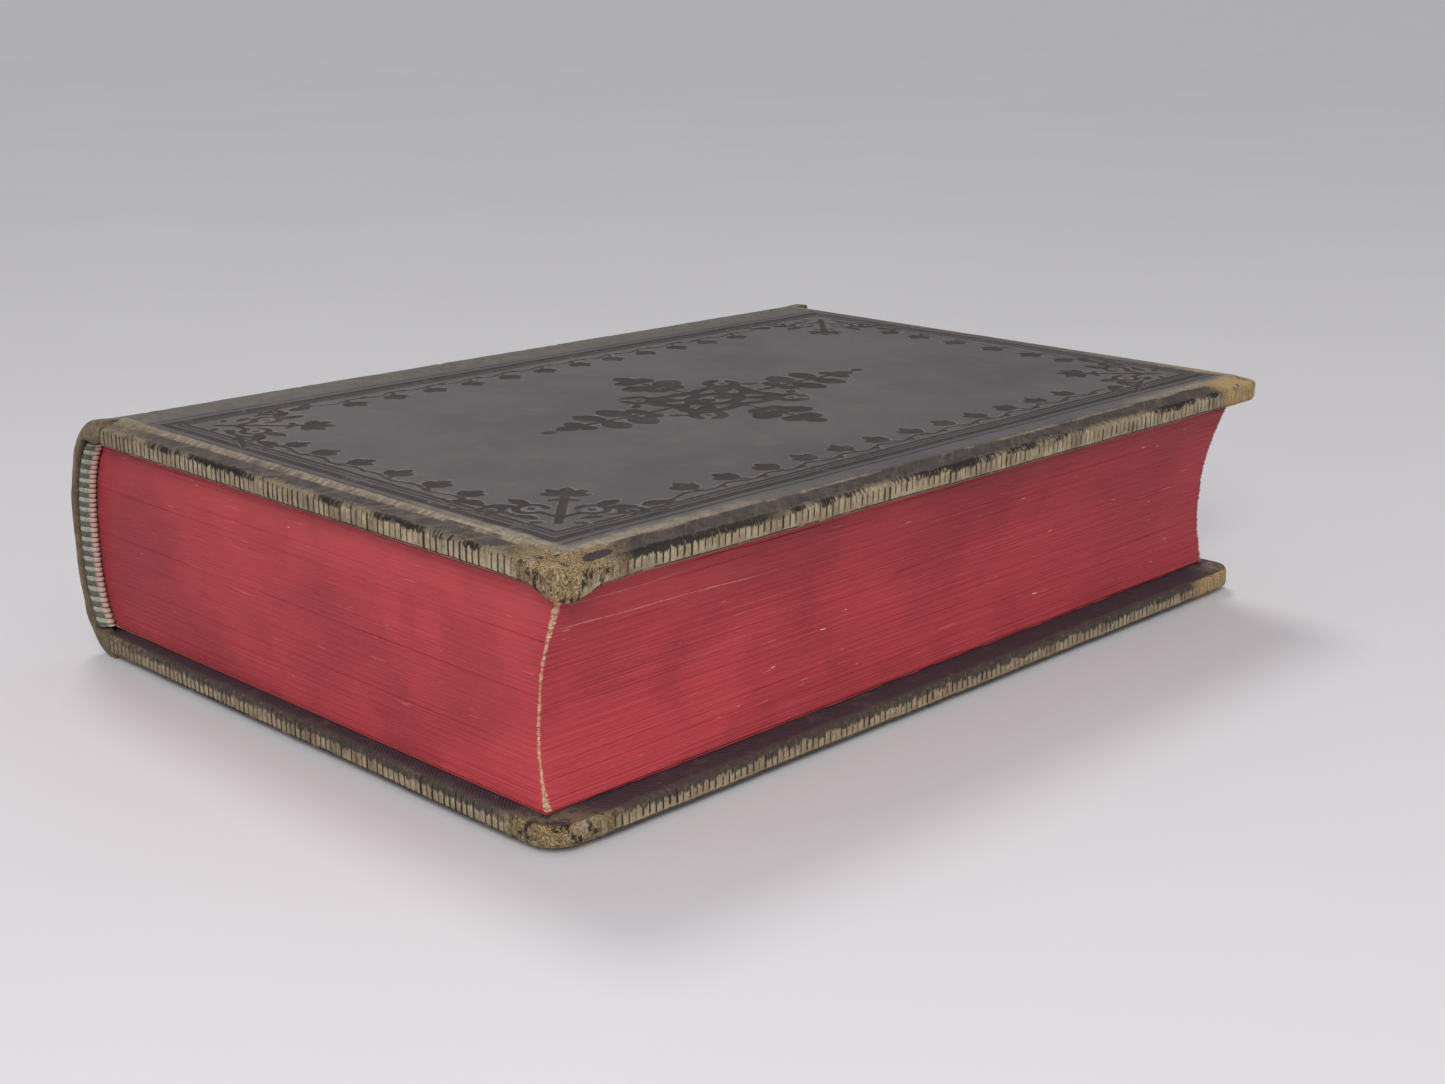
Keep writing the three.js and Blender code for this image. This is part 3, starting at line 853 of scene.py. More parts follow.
# The section of a cover's edge: in from the outline, and down from the face.
RIM = [
    (3.52, 0.0), (3.3, 0.03), (3.02, 0.1), (2.4, 0.23), (1.7, 0.38), (1.0, 0.53), (0.5, 0.65),
    (0.2, 0.78), (0.05, 0.98), (0.0, 1.25), (0.0, 1.8), (0.0, 2.35), (0.03, 2.8), (0.15, 3.12), (0.4, 3.32),
]
UNDERSIDE = [(0.75, 3.4), (2.0, 3.4), (3.6, 3.4), (6.0, 3.4), (8.7, 3.4), (9.0, 3.3), (9.0, 2.95)]
HIDDEN = [(6.0, 2.9), (0.6, 2.9), (0.55, 1.2), (3.6, 0.52)]
ARRIS_RUN = 0.34                  # from the first point of the section to the arris
PANEL_INSET = 3.9
CORNER_STEPS = 26
RIM_PITCH = 0.21
DROOP = 0.45                      # how far the front cover's near corner has bent down
SAG = 1.3                         # and how far its worn tip hangs over the leaves


def outline(d, shares, turns):
    """Points at inset d: straight tail side, corner, fore-edge side, corner, straight head side."""
    radius = max(CORNER_RADIUS - d, 0.6)
    reach, half = BOARD_WIDTH - d - radius, HALF - d - radius
    tail = np.stack([shares[0] * reach, np.full(len(shares[0]), -(HALF - d))], 1)
    fore = np.stack([np.full(len(shares[1]), BOARD_WIDTH - d), -half + 2 * half * shares[1]], 1)
    head = np.stack([shares[0][::-1] * reach, np.full(len(shares[0]), HALF - d)], 1)
    low = np.stack([reach + radius * np.sin(turns), -half - radius * np.cos(turns)], 1)
    high = np.stack([reach + radius * np.cos(turns), half + radius * np.sin(turns)], 1)
    return np.concatenate([tail, low, fore, high, head])


def outline_parameters(shares, turns):
    """A number from 0 to 3 for each of those points, by which rows of different spacing are matched."""
    tail = shares[0] * 0.999
    low = np.full(len(turns), 1.0)
    fore = 1.0 + 0.001 + shares[1] * 0.998
    high = np.full(len(turns), 2.0)
    head = 2.001 + (1 - shares[0][::-1]) * 0.999
    return np.concatenate([tail, low, fore, high, head])


def spaced(start, end, pitch):
    return np.linspace(start, end, max(2, int(round((end - start) / pitch)) + 1))


def run_along(path):
    """Distance along a path to each of its points."""
    return np.concatenate([[0], np.cumsum(np.hypot(*np.diff(path, axis=0).T))])


def graded(parts):
    """Coordinates with a different spacing in each stretch: [(start, pitch), ..., (end, None)]."""
    values = [np.array([parts[0][0]])]
    for (start, pitch), (end, _) in zip(parts, parts[1:]):
        values.append(spaced(start, end, pitch)[1:])
    return np.concatenate(values)


def build_cover(side, material, seed):
    us = graded([(0.0, 0.6), (5.0, 0.38), (27.0, 0.46), (65.0, 0.38), (BOARD_WIDTH - PANEL_INSET, None)])
    vs = graded([
        (-(HALF - PANEL_INSET), 0.36), (-46.0, 0.45), (46.0, 0.36), (HALF - PANEL_INSET, None),
    ])
    uu, vv = np.meshgrid(us, vs, indexing="ij")
    panel_tool = tooling(uu, vv)
    points, rims, tools = [], [], []

    def add(uvw, along, out, tool=NO_TOOLING):
        """Keeps a row of points and returns their numbers."""
        first = sum(len(row) for row in points)
        points.append(uvw)
        rims.append(np.column_stack(np.broadcast_arrays(along, out, np.zeros(len(uvw)))))
        tools.append(np.broadcast_to(tool, len(uvw)))
        return np.arange(first, first + len(uvw))

    inside = np.minimum(np.minimum(FRAME_U[1] - uu, uu - FRAME_U[0]), FRAME_V - np.abs(vv))
    sunk = 0.16 * ramp(panel_tool, 0.25, -0.25) + 0.13 * ramp(np.abs(inside - 1.75), 0.75, 0.35)
    sunk = sunk + 0.07 * ramp(np.abs(inside - 3.4), 0.9, 0.5)
    sway = 0.05 * (uneven2(uu, vv, 9, seed) + 1) + 0.02 * (uneven2(uu, vv, 2.2, seed + 1) + 1)
    sway = sway * ramp(uu, 0.0, 6.0)
    depth = sunk + sway
    out = -np.minimum(BOARD_WIDTH - BEVEL_WIDTH - uu, HALF - BEVEL_WIDTH - np.abs(vv))
    grid = np.stack([uu, vv, depth], -1).reshape(-1, 3)
    panel = add(grid, 0.0, out.ravel(), panel_tool.ravel()).reshape(uu.shape)
    faces = [grid_faces(panel)]
    border = np.concatenate([panel[:-1, 0], panel[-1, :-1], panel[::-1, -1]])
    u_share = us / us[-1]
    v_share = (vs - vs[0]) / (vs[-1] - vs[0])
    border_t = np.concatenate([u_share[:-1], 1 + v_share[:-1], 3 - u_share[::-1]])

    # fine columns round the rim
    shares = (
        spaced(0, BOARD_WIDTH - CORNER_RADIUS, RIM_PITCH) / (BOARD_WIDTH - CORNER_RADIUS),
        spaced(0, BOOK_HEIGHT - 2 * CORNER_RADIUS, RIM_PITCH)[1:-1] / (BOOK_HEIGHT - 2 * CORNER_RADIUS),
    )
    turns = np.linspace(0, math.pi / 2, CORNER_STEPS)[1:]
    base = outline(0.0, shares, turns)
    along = run_along(base)
    fine_t = outline_parameters(shares, turns)
    run = run_along(np.array(RIM)) - ARRIS_RUN
    worn = ramp(np.hypot(base[:, 0] - BOARD_WIDTH, np.abs(base[:, 1]) - HALF), 9.0, 1.0)
    ticks = np.sin(along * 2 * math.pi / TICK_PITCH + 1.0 * uneven(along, 9, seed + 5))
    rows = []
    for (d, w), out_here in zip(RIM, run):
        row = outline(d, shares, turns)
        edge_share = ramp(out_here, 2.0, 3.6)
        dent = 0.05 * (uneven(along, 7, seed + 2) + 1) + 0.05 * (uneven(along, 1.3, seed + 3) + 1)
        dent = dent * edge_share + 0.05 * np.clip(ticks, 0, 1) * edge_share * ramp(out_here, 6.0, 5.6)
        dent = dent + 0.35 * worn * ramp(out_here, 1.0, 4.2)
        away = np.stack([
            np.maximum(row[:, 0] - (BOARD_WIDTH - CORNER_RADIUS), 0),
            np.sign(row[:, 1]) * np.maximum(np.abs(row[:, 1]) - (HALF - CORNER_RADIUS), 0),
        ], 1)
        inward = -away / np.maximum(np.linalg.norm(away, axis=1, keepdims=True), 1e-6)
        row = row + inward * dent[:, None] * ramp(out_here, 0.1, 1.0)
        sunk_here = 0.04 * uneven(along, 5, seed + 7) + 0.05
        drop = w + sunk_here * ramp(out_here, -0.2, 0.6) * ramp(out_here, 6.4, 5.0)
        drop = drop + 0.12 * worn * ramp(out_here, -0.3, 1.0) * ramp(out_here, 5.0, 4.0)
        uvw = np.column_stack([row, drop])
        rows.append(add(uvw, along, out_here))
    faces.append(zip_faces(border, border_t, rows[0], fine_t))
    faces.append(grid_faces(np.array(rows)))

    # coarser columns under the board and inside the shell
    coarse = (spaced(0, 1, 0.012), spaced(0, 1, 0.01)[1:-1])
    turns_coarse = np.linspace(0, math.pi / 2, 8)[1:]
    coarse_t = outline_parameters(coarse, turns_coarse)
    coarse_along = run_along(outline(0.0, coarse, turns_coarse))
    under_run = run[-1]
    last = RIM[-1]
    under = []
    for d, w in UNDERSIDE + HIDDEN:
        under_run += math.hypot(d - last[0], w - last[1])
        last = (d, w)
        row = outline(d, coarse, turns_coarse)
        uvw = np.column_stack([row, np.full(len(row), w)])
        under.append(add(uvw, coarse_along, under_run))
    faces.append(zip_faces(rows[-1], fine_t, under[0], coarse_t))
    faces.append(grid_faces(np.array(under)))

    # the inner panel, and the wall at the joint side
    inner_u = np.linspace(0, BOARD_WIDTH - PANEL_INSET, 5)
    inner_v = np.linspace(-(HALF - PANEL_INSET), HALF - PANEL_INSET, 5)
    iu, iv = np.meshgrid(inner_u, inner_v, indexing="ij")
    flat = np.stack([iu, iv, np.full(iu.shape, 0.52)], -1).reshape(-1, 3)
    inner = add(flat, 0.0, TURN_IN).reshape(iu.shape)
    inner_border = np.concatenate([inner[:-1, 0], inner[-1, :-1], inner[::-1, -1]])
    inner_t = np.concatenate([
        np.linspace(0, 1, 5)[:-1], 1 + np.linspace(0, 1, 5)[:-1], 2 + np.linspace(0, 1, 5),
    ])
    faces.append(zip_faces(under[-1], coarse_t, inner_border, inner_t))
    faces.append(grid_faces(inner))
    outer_wall = np.concatenate([
        [r[0] for r in under[:len(UNDERSIDE)]][::-1], [r[0] for r in rows][::-1], panel[0, :],
        [r[-1] for r in rows], [r[-1] for r in under[:len(UNDERSIDE)]],
    ])
    inner_wall = np.concatenate([
        [r[0] for r in under[len(UNDERSIDE):]], inner[0, :], [r[-1] for r in under[len(UNDERSIDE):]][::-1],
    ])
    stacked = np.concatenate(points)
    outer_share, inner_share = (wall_share(stacked[wall]) for wall in (outer_wall, inner_wall))
    faces.append(zip_faces(outer_wall, outer_share, inner_wall, inner_share))

    uvw, rim, tool = stacked, np.concatenate(rims), np.concatenate(tools)
    if side == "front":
        near = np.hypot(BOARD_WIDTH - uvw[:, 0], HALF + uvw[:, 1])
        bent = uvw.copy()
        bent[:, 2] += DROOP * ramp(near, 13.0, 0.0) * ramp(uvw[:, 2], 3.5, 3.2)
        bent[:, 2] += SAG * ramp(near, 6.2, 1.6) * ramp(uvw[:, 2], 0.9, 3.0)
    else:
        bent = uvw
    x = JOINT_X[side] + bent[:, 0]
    z = bent[:, 2] if side == "back" else BOOK_THICKNESS - bent[:, 2]
    book = np.column_stack([x, bent[:, 1], z])
    return piece(
        f"{side}_cover_skin", book, np.concatenate(faces), material, "cover_leather", f"{side}_cover",
        (f"{side}_cover_leather",), rest=uvw, rim=rim, tool=tool, crease=60,
    )


def wall_share(points):
    """Position along the C-shaped wall at the joint side: turn-in, edge, face, edge, turn-in."""
    v, w = points[:, 1], points[:, 2]
    side = np.sign(v)
    on_face = np.abs(v) < HALF - PANEL_INSET + 0.3
    face = (w < 0.9) & on_face
    ends = np.where(w > 2.5, 2.0 + (HALF - np.abs(v)) / 10, 1.0 + np.clip(w, 0, 2.5) / 2.5)
    share = np.where(face, v / (HALF - PANEL_INSET), side * ends)
    return np.maximum.accumulate(share + np.arange(len(share)) * 1e-7)


# ---- spine skins -----------------------------------------------------------------------

SKIN_THICKNESS = 0.95
CAP_SWELL = 0.3
CAP_ROUNDING = 0.6
CAP_STEPS = 7
BOARD_SIDE = 3.55                 # height that the plug in each corner keeps within
SKIN_CUTS = [7.1, 13.6, 20.0, 26.5]
PLUG = 1.9                        # how much thicker the turned-in leather is in the corner by each board


def build_spine(material):
    replaced = [
        ("back_joint_leather", "back_spine_leather"), ("back_middle_spine_leather",),
        ("front_middle_spine_leather",), ("front_spine_leather",), ("front_joint_leather",),
    ]
    for number in range(5):
        low = -1.0 if number == 0 else SKIN_CUTS[number - 1]
        high = BOOK_THICKNESS + 1 if number == 4 else SKIN_CUTS[number]
        start = float(spine_angle(0.0, max(low, 0.0)))
        end = float(spine_angle(0.0, min(high, BOOK_THICKNESS)))
        pivot = float(spine_angle(0.0, HINGE_Z[number]))
        steps = np.unique(np.concatenate([
            np.linspace(start, end, 46), np.linspace(pivot - 0.05, pivot + 0.05, 25),
        ]))
        steps = steps[(steps >= start) & (steps <= end)]
        # section along the spine: outer face from tail to head, round cap, inner face back, round cap
        cap_y = SPINE_END - CAP_ROUNDING
        ys = graded([(-cap_y, 0.3), (-58, 1.1), (58, 0.3), (cap_y, None)])
        turn = np.linspace(-math.pi / 2, math.pi / 2, CAP_STEPS + 2)[1:-1]
        half = SKIN_THICKNESS / 2
        head_y = cap_y + CAP_ROUNDING * np.cos(turn)
        section_y = np.concatenate([ys, head_y, ys[::-1], -head_y])
        cap_d = half * np.sin(turn)
        outer_d, inner_d = np.zeros(len(ys)), np.full(len(ys), SKIN_THICKNESS)
        section_d = np.concatenate([outer_d, half + cap_d, inner_d, half - cap_d])
        near_end = ramp(np.abs(section_y), SPINE_END - 3.0, SPINE_END - 0.8)
        angle, across = np.meshgrid(steps, np.arange(len(section_y)), indexing="ij")
        y, d = section_y[across], section_d[across]
        d = d + CAP_SWELL * near_end[across] * (d / (2 * half) - 0.45) * 1.2
        z0 = spine_point(0.0, angle)[1]
        waves = 0.03 * (uneven2(y, z0, 6, 31) + 1) + 0.03 * (uneven2(y, z0, 1.6, 32) + 1)
        lines = sum(ramp(np.abs(np.abs(y) - p), 0.6, 0.2) for p in (61.7, 36.6, 11.6))
        sunk = (waves + 0.12 * lines) * np.where(d < 0.2, 1.0, 0.0)
        worn_end = 0.25 * (uneven(z0, 2.4, 41) + 1) * 0.5 * ramp(np.abs(y), SPINE_END - 0.7, SPINE_END)
        y = np.sign(y) * (np.abs(y) - worn_end)
        past = ramp(pivot - angle, 0.06, 0.4) if number == 0 else ramp(angle - pivot, 0.06, 0.4)
        plug = past if number in (0, 4) else np.zeros_like(angle)
        plug = plug * ramp(np.abs(y), TEXT_END + 0.25, TEXT_END + 0.9) * ramp(d, half, SKIN_THICKNESS)
        x, z = spine_point(d + sunk + 0.02 + PLUG * plug, angle)
        z = np.clip(z, 0.0, BOOK_THICKNESS)
        within = np.minimum(z, BOARD_SIDE) if number == 0 else np.maximum(z, BOOK_THICKNESS - BOARD_SIDE)
        z = np.where(plug > 0, within, z)
        tuck = np.zeros_like(x)
        if number == 0:
            tuck = ramp(angle, start + 0.02, start)
        if number == 4:
            tuck = ramp(angle, end - 0.02, end)
        points = np.stack([x + tuck * 0.25, y, z], -1).reshape(-1, 3)
        index = np.arange(angle.size).reshape(angle.shape)
        faces = [grid_faces(index, closed=True)]
        for row in (index[0], index[-1]):
            middle = CAP_STEPS // 2
            parts = np.cumsum([len(ys), CAP_STEPS, len(ys)])
            outer, head, inner, tail = np.split(row, parts)
            top = np.concatenate([tail[middle:], outer, head[:middle + 1]])
            bottom = np.concatenate([tail[:middle + 1][::-1], inner[::-1], head[middle:][::-1]])
            share = np.linspace(0, 1, len(top))
            faces.append(zip_faces(top[:-1], share[:-1], bottom[1:-1], share[1:-1]))
            faces.append(np.array([[top[-2], bottom[-2], top[-1]]]))
        skin = np.column_stack([z0.ravel(), SPINE_END - np.abs(points[:, 1]), d.ravel()])
        made = piece(f"spine_skin_{number + 1}", points, np.concatenate(faces), material, "spine_leather",
                     replaces=replaced[number], skin=skin, crease=70)
        px, pz = (float(c) for c in spine_point(0.0, pivot))
        ax, az = (float(c) for c in spine_point(0.0, pivot - 0.01))
        bx, bz = (float(c) for c in spine_point(0.0, pivot + 0.01))
        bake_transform(made)


# ---- leaves ----------------------------------------------------------------------------

LEAF_ROWS = 88
LEAF_GAP = 0.014
GUTTER_HALF = 0.01
NICKED_CORNER = 1.2               # how much of each leaf's outer corner is rubbed away


def build_leaves(material):
    for number, group in enumerate(GROUPS):
        low = TEXT_LOW + number * GROUP_THICKNESS + LEAF_GAP
        high = low + GROUP_THICKNESS - 2 * LEAF_GAP
        rng = np.random.default_rng(70 + number)
        levels = np.linspace(low, high, LEAF_ROWS)
        jitter = rng.uniform(0, 1, (LEAF_ROWS, 4)) ** 2
        corner_jitter = rng.uniform(0, 1, (LEAF_ROWS, 4)) ** 1.5
        across = spaced(0, 1, 1 / 70)
        length = spaced(0, 1, 1 / 100)
        rows = []
        for k, z in enumerate(levels):
            xs = float(fold_x(z)) + FOLD_ROUNDING
            xf = float(fore_edge_x(z))
            section = 2 * math.pi * (z - low) / (high - low) * 4
            back = xs - 0.28 * (0.5 - 0.5 * math.cos(section))
            bunch = 90 * number + k // 3
            tail = -TEXT_END + 0.05 * jitter[k, 0] + 0.04 * (uneven(across * 90, 9, bunch) + 1)
            head = TEXT_END - 0.05 * jitter[k, 1] - 0.04 * (uneven(across * 90, 9, 900 + bunch) + 1)
            fore = xf - 0.07 * jitter[k, 2] - 0.05 * (uneven(length * 135, 12, 1900 + bunch) + 1)
            fore = fore + lean(-TEXT_END + 2 * TEXT_END * length, z)
            cut = 0.14 * corner_jitter[k, :2] + 0.1 + 0.06 * uneven(z, 1.7, 66)
            at_corner = ramp(across, 1 - NICKED_CORNER / 92, 1.0)
            tail_y = tail + cut[0] * at_corner
            head_y = head - cut[1] * at_corner
            fore_y = -TEXT_END + 2 * TEXT_END * length
            nicked = NICKED_CORNER / 135
            fore_x = fore - cut[0] * ramp(length, nicked, 0) - cut[1] * ramp(length, 1 - nicked, 1.0)
            tail_x = back + (fore_x[0] - back) * across
            head_x = back + (fore_x[-1] - back) * across
            ring_xy = np.concatenate([
                np.column_stack([tail_x, tail_y])[:-1],
                np.column_stack([fore_x, np.clip(fore_y, tail_y[-1], head_y[-1])])[:-1],
                np.column_stack([head_x, head_y])[::-1],
            ])
            rows.append(np.column_stack([ring_xy, np.full(len(ring_xy), z)]))
        rings = np.array(rows)
        count = rings.shape[1]
        points = rings.reshape(-1, 3)
        index = np.arange(len(points)).reshape(LEAF_ROWS, count)
        faces = [grid_faces(index, closed=True)]
        n, m = len(across), len(length)
        for row in (index[0], index[-1]):
            tail_row, fore_row = row[:n - 1], row[n - 1:n + m - 2]
            head_row = row[n + m - 2:][::-1]
            strip = zip_faces(tail_row, np.arange(n - 1) / n, head_row[:-1], np.arange(n - 1) / n)
            fan = np.array([(tail_row[-1], head_row[-2], fore_row[0])])
            fore_all = np.concatenate([fore_row, [head_row[-1]]])
            rest = np.column_stack([np.full(len(fore_row), head_row[-2]), fore_all[1:], fore_all[:-1]])
            faces += [strip, fan, rest]
        made = piece(f"{group}_leaves", points, np.concatenate(faces), material, "leaves", f"{group}_text",
                     tuple(f"{group}_quire_{i}" for i in range(1, 5)), crease=50)
        for polygon in made.data.polygons:
            polygon.use_smooth = abs(polygon.normal.z) < 0.999


# ---- sheets: pastedowns, flyleaves, hinge strips and gutters ---------------------------

def slab(name, section, ys, material, slot, warp=None, to_fore_edge=False, **more):
    """A closed section in x and z, run along y; from_edge is how far a point is from the outer edges."""
    section = np.asarray(section, float)
    n, m = len(section), len(ys)
    grid = np.zeros((m, n, 3))
    grid[:, :, 0], grid[:, :, 2] = section[:, 0], section[:, 1]
    grid[:, :, 1] = np.asarray(ys)[:, None]
    points = grid.reshape(-1, 3)
    index = np.arange(m * n).reshape(m, n)
    faces = [grid_faces(index, closed=True)]
    half = n // 2
    share = np.arange(half) / half
    for row in (index[0], index[-1]):
        faces.append(zip_faces(row[:half], share, row[half:][::-1], share))
    from_edge = np.ptp(ys) / 2 - np.abs(points[:, 1])
    if to_fore_edge:
        from_edge = np.minimum(from_edge, section[:, 0].max() - points[:, 0])
    placed = points if warp is None else warp(points)
    return piece(name, placed, np.concatenate(faces), material, slot, crease=50, rest=points,
                 from_edge=from_edge, **more)


PAPER_GAP = 0.15                  # round a pastedown, to the turned-in leather
PASTEDOWN_HEIGHTS = (3.3, 2.91)   # its two faces, above the outer face of the cover
FLYLEAF_Z = {"back": 3.55, "front": BOOK_THICKNESS - 3.55 - FLYLEAF}
FLYLEAF_FOOT = {"back": 6.45, "front": 7.85}
FLYLEAF_FACES = (0.03, 0.13)
STRIP_HEIGHTS = (3.43, 3.52)      # the strip of endpaper in the joint: along the cover, and along the leaves
STRIP_HALF = 0.012
STRIP_FOLD = {"back": 4.0, "front": 4.75}
STRIP_END = {"back": 6.1, "front": 7.5}


def build_sheets(endpaper, lining_paper):
    ys_leaf = np.linspace(-TEXT_END + 0.05, TEXT_END - 0.05, 90)
    for side in ("back", "front"):
        up = 1 if side == "back" else -1
        base = 0.0 if side == "back" else BOOK_THICKNESS
        joint = JOINT_X[side]

        # pastedown
        xs = np.linspace(joint + 0.3, joint + BOARD_WIDTH - TURN_IN - PAPER_GAP, 60)
        top = [(x, base + up * PASTEDOWN_HEIGHTS[0]) for x in xs]
        bottom = [(x, base + up * PASTEDOWN_HEIGHTS[1]) for x in xs[::-1]]
        half = HALF - TURN_IN - PAPER_GAP
        slab(f"{side}_pastedown_paper", top + bottom, np.linspace(-half, half, 90), lining_paper,
             "endpaper", body=f"{side}_cover", replaces=(f"{side}_pastedown",), to_fore_edge=True)

        # flyleaf, a little wavy
        low = FLYLEAF_Z[side]
        outer = float(min(fore_edge_x(low), fore_edge_x(low + FLYLEAF)) + lean(0.0, low)) - 0.05
        xs = np.linspace(FLYLEAF_FOOT[side], outer, 70)
        under, over = (low + height for height in FLYLEAF_FACES)
        section = [(x, under) for x in xs] + [(x, over) for x in xs[::-1]]
        seed = 51 if side == "back" else 57

        def wavy(points, seed=seed, outer=outer, low=low):
            moved = points.copy()
            moved[:, 2] += 0.03 * uneven2(points[:, 0], points[:, 1], 16, seed)
            x, y = points[:, 0], points[:, 1]
            fray = 0.12 * (uneven(y, 4, seed + 1) + 1) + 0.1 * (uneven(y, 0.9, seed + 2) + 1)
            moved[:, 0] += (lean(y, low) - lean(0.0, low)) * ramp(x, outer - 20, outer)
            moved[:, 0] -= fray * ramp(x, outer - 2, outer)
            return moved

        slab(f"{side}_flyleaf_paper", section, ys_leaf, endpaper, "endpaper", body=f"{side}_flyleaf",
             replaces=(f"{side}_flyleaf",), warp=wavy, to_fore_edge=True)

        # the strip of endpaper in the joint, folded beside the hinge
        reach = joint + 2.2
        fold = STRIP_FOLD[side]
        on_cover, on_leaves = STRIP_HEIGHTS
        middle, radius = (on_cover + on_leaves) / 2, (on_leaves - on_cover) / 2
        bend = np.linspace(0, math.pi, 13)[1:-1]
        path = [(reach, on_cover)] + [(x, on_cover) for x in np.linspace(reach - 0.4, fold, 14)]
        path += [(fold - radius * math.sin(a), middle - radius * math.cos(a)) for a in bend]
        path += [(x, on_leaves) for x in np.linspace(fold, STRIP_END[side], 10)]
        path = np.array(path)
        tangent = np.gradient(path, axis=0)
        tangent /= np.linalg.norm(tangent, axis=1, keepdims=True)
        normal = np.column_stack([-tangent[:, 1], tangent[:, 0]])
        one, two = path + normal * STRIP_HALF, path - normal * STRIP_HALF
        section = np.vstack([one, two[::-1]])
        section[:, 1] = base + up * section[:, 1]
        ys_strip = np.linspace(-TEXT_END + 0.2, TEXT_END - 0.2, 40)
        strip = slab(f"{side}_joint_strip", section, ys_strip, lining_paper, "endpaper")
        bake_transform(strip)

    # gutters: the folds that show where the book opens between two groups of leaves
    for number in range(3):
        z = TEXT_LOW + (number + 1) * GROUP_THICKNESS
        x = float(fold_x(z)) + FOLD_ROUNDING
        heights = np.linspace(-GUTTER_HALF, GUTTER_HALF, 25)
        left = [(x - 0.35, z + h) for h in heights]
        right = [(x + 1.5, z + h) for h in heights[::-1]]
        strip = slab(f"gutter_{number + 1}", left + right, np.linspace(-TEXT_END + 0.1, TEXT_END - 0.1, 40),
                     endpaper, "leaves")
        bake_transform(strip)


# ---- headbands -------------------------------------------------------------------------

BAND_PITCH = 1.4
BAND_INSET = 2.3
BAND_GAP = 0.075                  # between the lengths on two neighbouring groups of leaves
BAND_OVERRUN = 0.06               # by which the silk covers most of that gap
BAND_OUT = 1.12                   # from the end of the leaves to the middle of the cord
BAND_RADIUS = 0.88


def build_headbands(material):
    for number, group in enumerate(GROUPS):
        low = max(HINGE_Z[number] + BAND_GAP, TEXT_LOW) - BAND_OVERRUN
        high = min(HINGE_Z[number + 1] - BAND_GAP, TEXT_HIGH) + BAND_OVERRUN
        levels = np.linspace(low, high, 110)
        x, z = spine_point(BAND_INSET, spine_angle(BAND_INSET, levels))
        for end, name in ((-1, "tail"), (1, "head")):
            around = np.linspace(0, 2 * math.pi, 26, endpoint=False)
            centre_y = end * (TEXT_END + BAND_OUT)
            zz, aa = np.meshgrid(np.arange(len(levels)), around, indexing="ij")
            turn = z[zz] / BAND_PITCH + 0.16 * np.sin(aa) * end + 0.05 * uneven(z[zz], 2.0, 3)
            thread = np.abs(np.sin(turn * 2 * math.pi))
            radius = BAND_RADIUS + 0.1 * np.sqrt(thread) + 0.02 * uneven(z[zz] * 3, 1.0, 8)
            signed = np.mod(aa + math.pi, 2 * math.pi) - math.pi
            toward_leaves = ramp(signed, 0.16, -0.1) * ramp(signed, -2.6, -2.2)
            swell = ramp(signed, 0.35, -0.45) * ramp(signed, -1.25, -0.9)
            beads = toward_leaves * 0.08 * thread + 0.34 * swell
            rad = radius + beads
            points = np.stack([
                x[zz] + rad * np.cos(aa) * 0.95, centre_y + end * rad * np.sin(aa), z[zz],
            ], -1).reshape(-1, 3)
            index = np.arange(zz.size).reshape(zz.shape)
            faces = [grid_faces(index, closed=True)]
            caps = np.array([[x[0], centre_y, z[0]], [x[-1], centre_y, z[-1]]])
            points = np.vstack([points, caps])
            for row, tip in ((index[0], len(points) - 2), (index[-1], len(points) - 1)):
                faces.append(np.column_stack([row, np.roll(row, -1), np.full(len(row), tip)]))
            turns = np.append(turn.ravel(), [turn.min(), turn.max()])
            bead = np.append(toward_leaves.ravel(), [0, 0])
            piece(f"{group}_headband_{name}_silk", points, np.concatenate(faces), material, "headband",
                  f"{group}_text", (f"{group}_headband_{name}",), turn=turns, bead=bead, crease=60)


# ---- build -----------------------------------------------------------------------------

build_cover("back", cover_material("back_cover_leather_worn", 1.0), 11)
build_cover("front", cover_material("front_cover_leather_worn", 0.0), 23)
build_spine(spine_material())
build_leaves(leaves_material())
build_sheets(
    paper_material("flyleaf_paper_old", rgb(216, 203, 172), rgb(196, 176, 136)),
    paper_material("pastedown_paper_old", rgb(208, 194, 160), rgb(186, 164, 122), stained=False),
)
build_headbands(headband_material())

board = board_material()
linen = weave_material("lining_linen", rgb(178, 164, 130), rgb(120, 104, 76), 0.7)
tape = weave_material("tape_linen", rgb(196, 184, 152), rgb(140, 124, 94), 0.5)
for name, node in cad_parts.items():
    for part, new in (("_board", board), ("_spine_lining", linen), ("_sewing_tape_", tape)):
        if part in name:
            node.data.materials.clear()
            node.data.materials.append(new)


# ---- floor, light, camera --------------------------------------------------------------

FLOOR_SIZE = 60.0                 # metres, as is everything below
FLOOR_GAP = 0.0002


def floor_material():
    s = Shader("floor")
    place, _ = s.object_place()
    cloud = s.noise(place, 9.0, 4.0)
    fine = s.noise(place, 160.0, 4.0, 0.6)
    colour = s.mix(s.step(cloud, 0.3, 0.7), rgb(213, 211, 213), rgb(211, 209, 211))
    return s.finish(colour, 0.85, 0.5 + (fine - 0.5) * 0.4, 0.05, 0.1)


bpy.ops.mesh.primitive_plane_add(size=FLOOR_SIZE, location=(0, 0, -FLOOR_GAP))
floor = bpy.context.object
floor.name = "floor"
floor.data.materials.append(floor_material())

world = bpy.data.worlds.new("pale_room")
world.use_nodes = True
background = world.node_tree.nodes["Background"]
background.inputs["Color"].default_value = (*rgb(226, 228, 234), 1)
background.inputs["Strength"].default_value = 0.52
bpy.context.scene.world = world


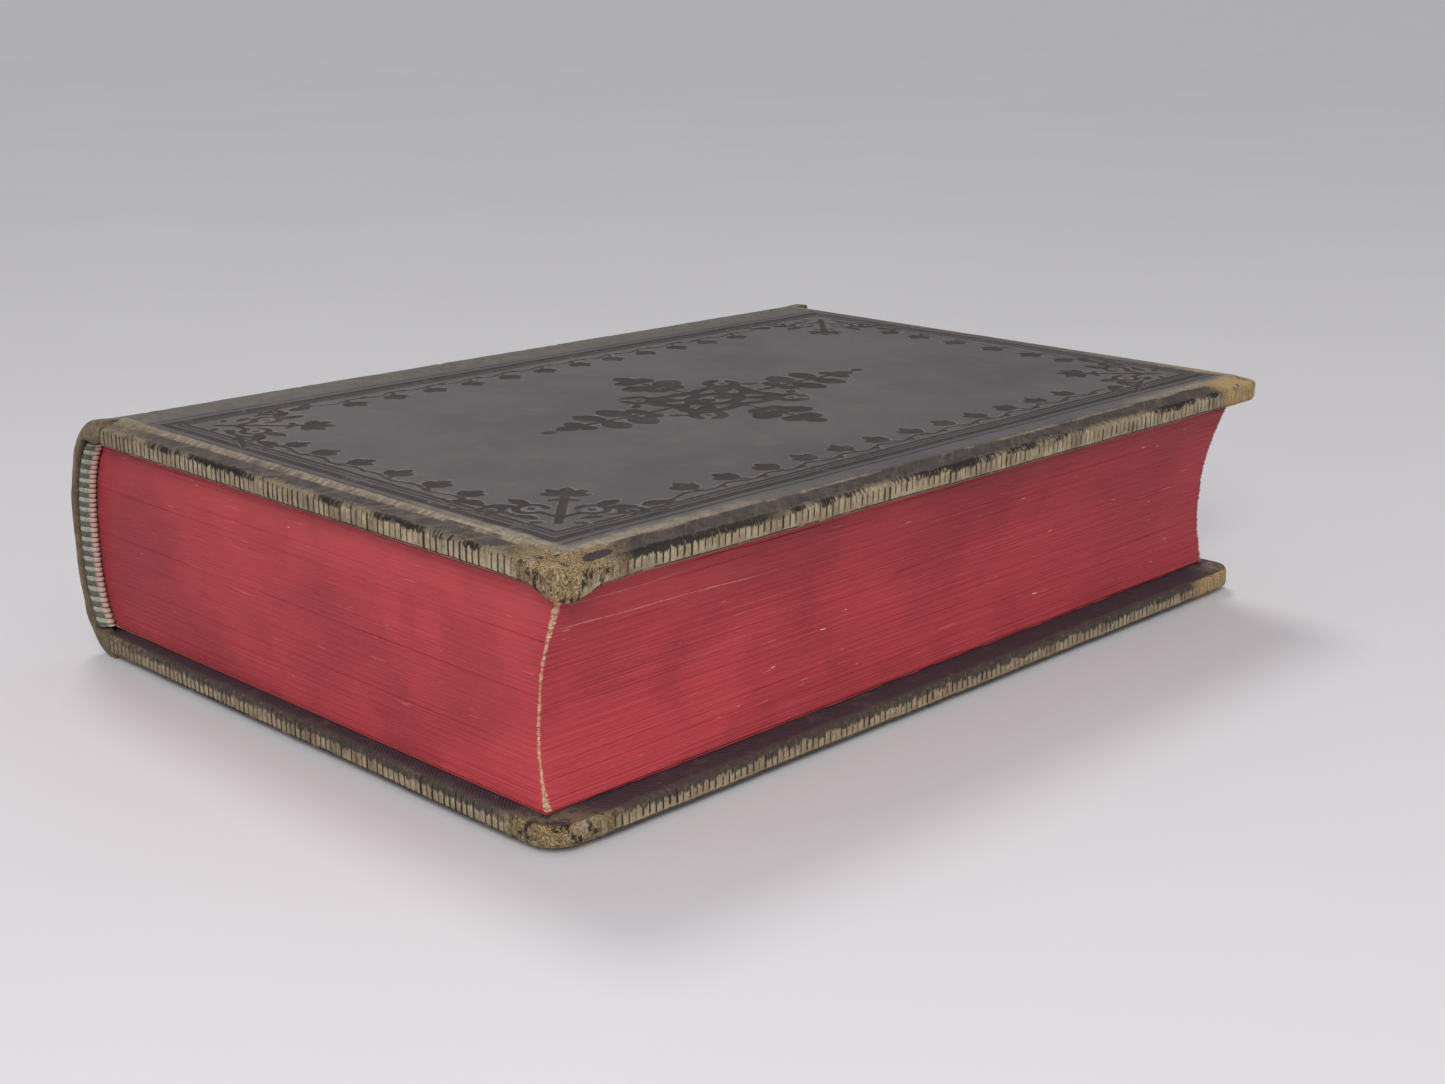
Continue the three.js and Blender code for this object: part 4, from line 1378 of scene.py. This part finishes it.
def add_light(kind, name, place, aim, power, colour, **settings):
    """A soft light that shines from place to aim."""
    data = bpy.data.lights.new(name, kind)
    data.energy = power
    data.color = colour
    for key, value in settings.items():
        setattr(data, key, value)
    light = bpy.data.objects.new(name, data)
    light.location = place
    light.rotation_mode = "QUATERNION"
    light.rotation_quaternion = (Vector(aim) - Vector(place)).to_track_quat("-Z", "Y")
    bpy.context.scene.collection.objects.link(light)


add_light("SUN", "key", (0, 0, 0), (0.75, -0.35, -1.15), 0.95, (1.0, 0.98, 0.95), angle=0.32)
add_light("AREA", "near_camera", (0.42, -0.46, 0.40), (0.03, -0.04, 0.01), 3.6, (1.0, 0.98, 0.97),
          shape="DISK", size=0.32)

CAMERA_PLACE = Vector((0.19376, -0.19319, 0.08978))
CAMERA_YAW = 0.7717
CAMERA_ELEVATION = 0.2791
CAMERA_ROLL = 0.0044
SENSOR = 36.0
LENS = 48.733

camera_data = bpy.data.cameras.new("camera")
camera_data.sensor_width = SENSOR
camera_data.lens = LENS
camera_data.clip_start = 0.005
camera_data.clip_end = 20
camera = bpy.data.objects.new("camera", camera_data)
bpy.context.scene.collection.objects.link(camera)
back = Vector((
    math.sin(CAMERA_YAW) * math.cos(CAMERA_ELEVATION), -math.cos(CAMERA_YAW) * math.cos(CAMERA_ELEVATION),
    math.sin(CAMERA_ELEVATION),
))
right = Vector((math.cos(CAMERA_YAW), math.sin(CAMERA_YAW), 0))
up = back.cross(right)
rolled_right = math.cos(CAMERA_ROLL) * right + math.sin(CAMERA_ROLL) * up
rolled_up = -math.sin(CAMERA_ROLL) * right + math.cos(CAMERA_ROLL) * up
camera.matrix_world = Matrix((
    (rolled_right.x, rolled_up.x, back.x, CAMERA_PLACE.x),
    (rolled_right.y, rolled_up.y, back.y, CAMERA_PLACE.y),
    (rolled_right.z, rolled_up.z, back.z, CAMERA_PLACE.z),
    (0, 0, 0, 1),
))
bpy.context.scene.camera = camera
bpy.context.scene.view_settings.view_transform = "Standard"
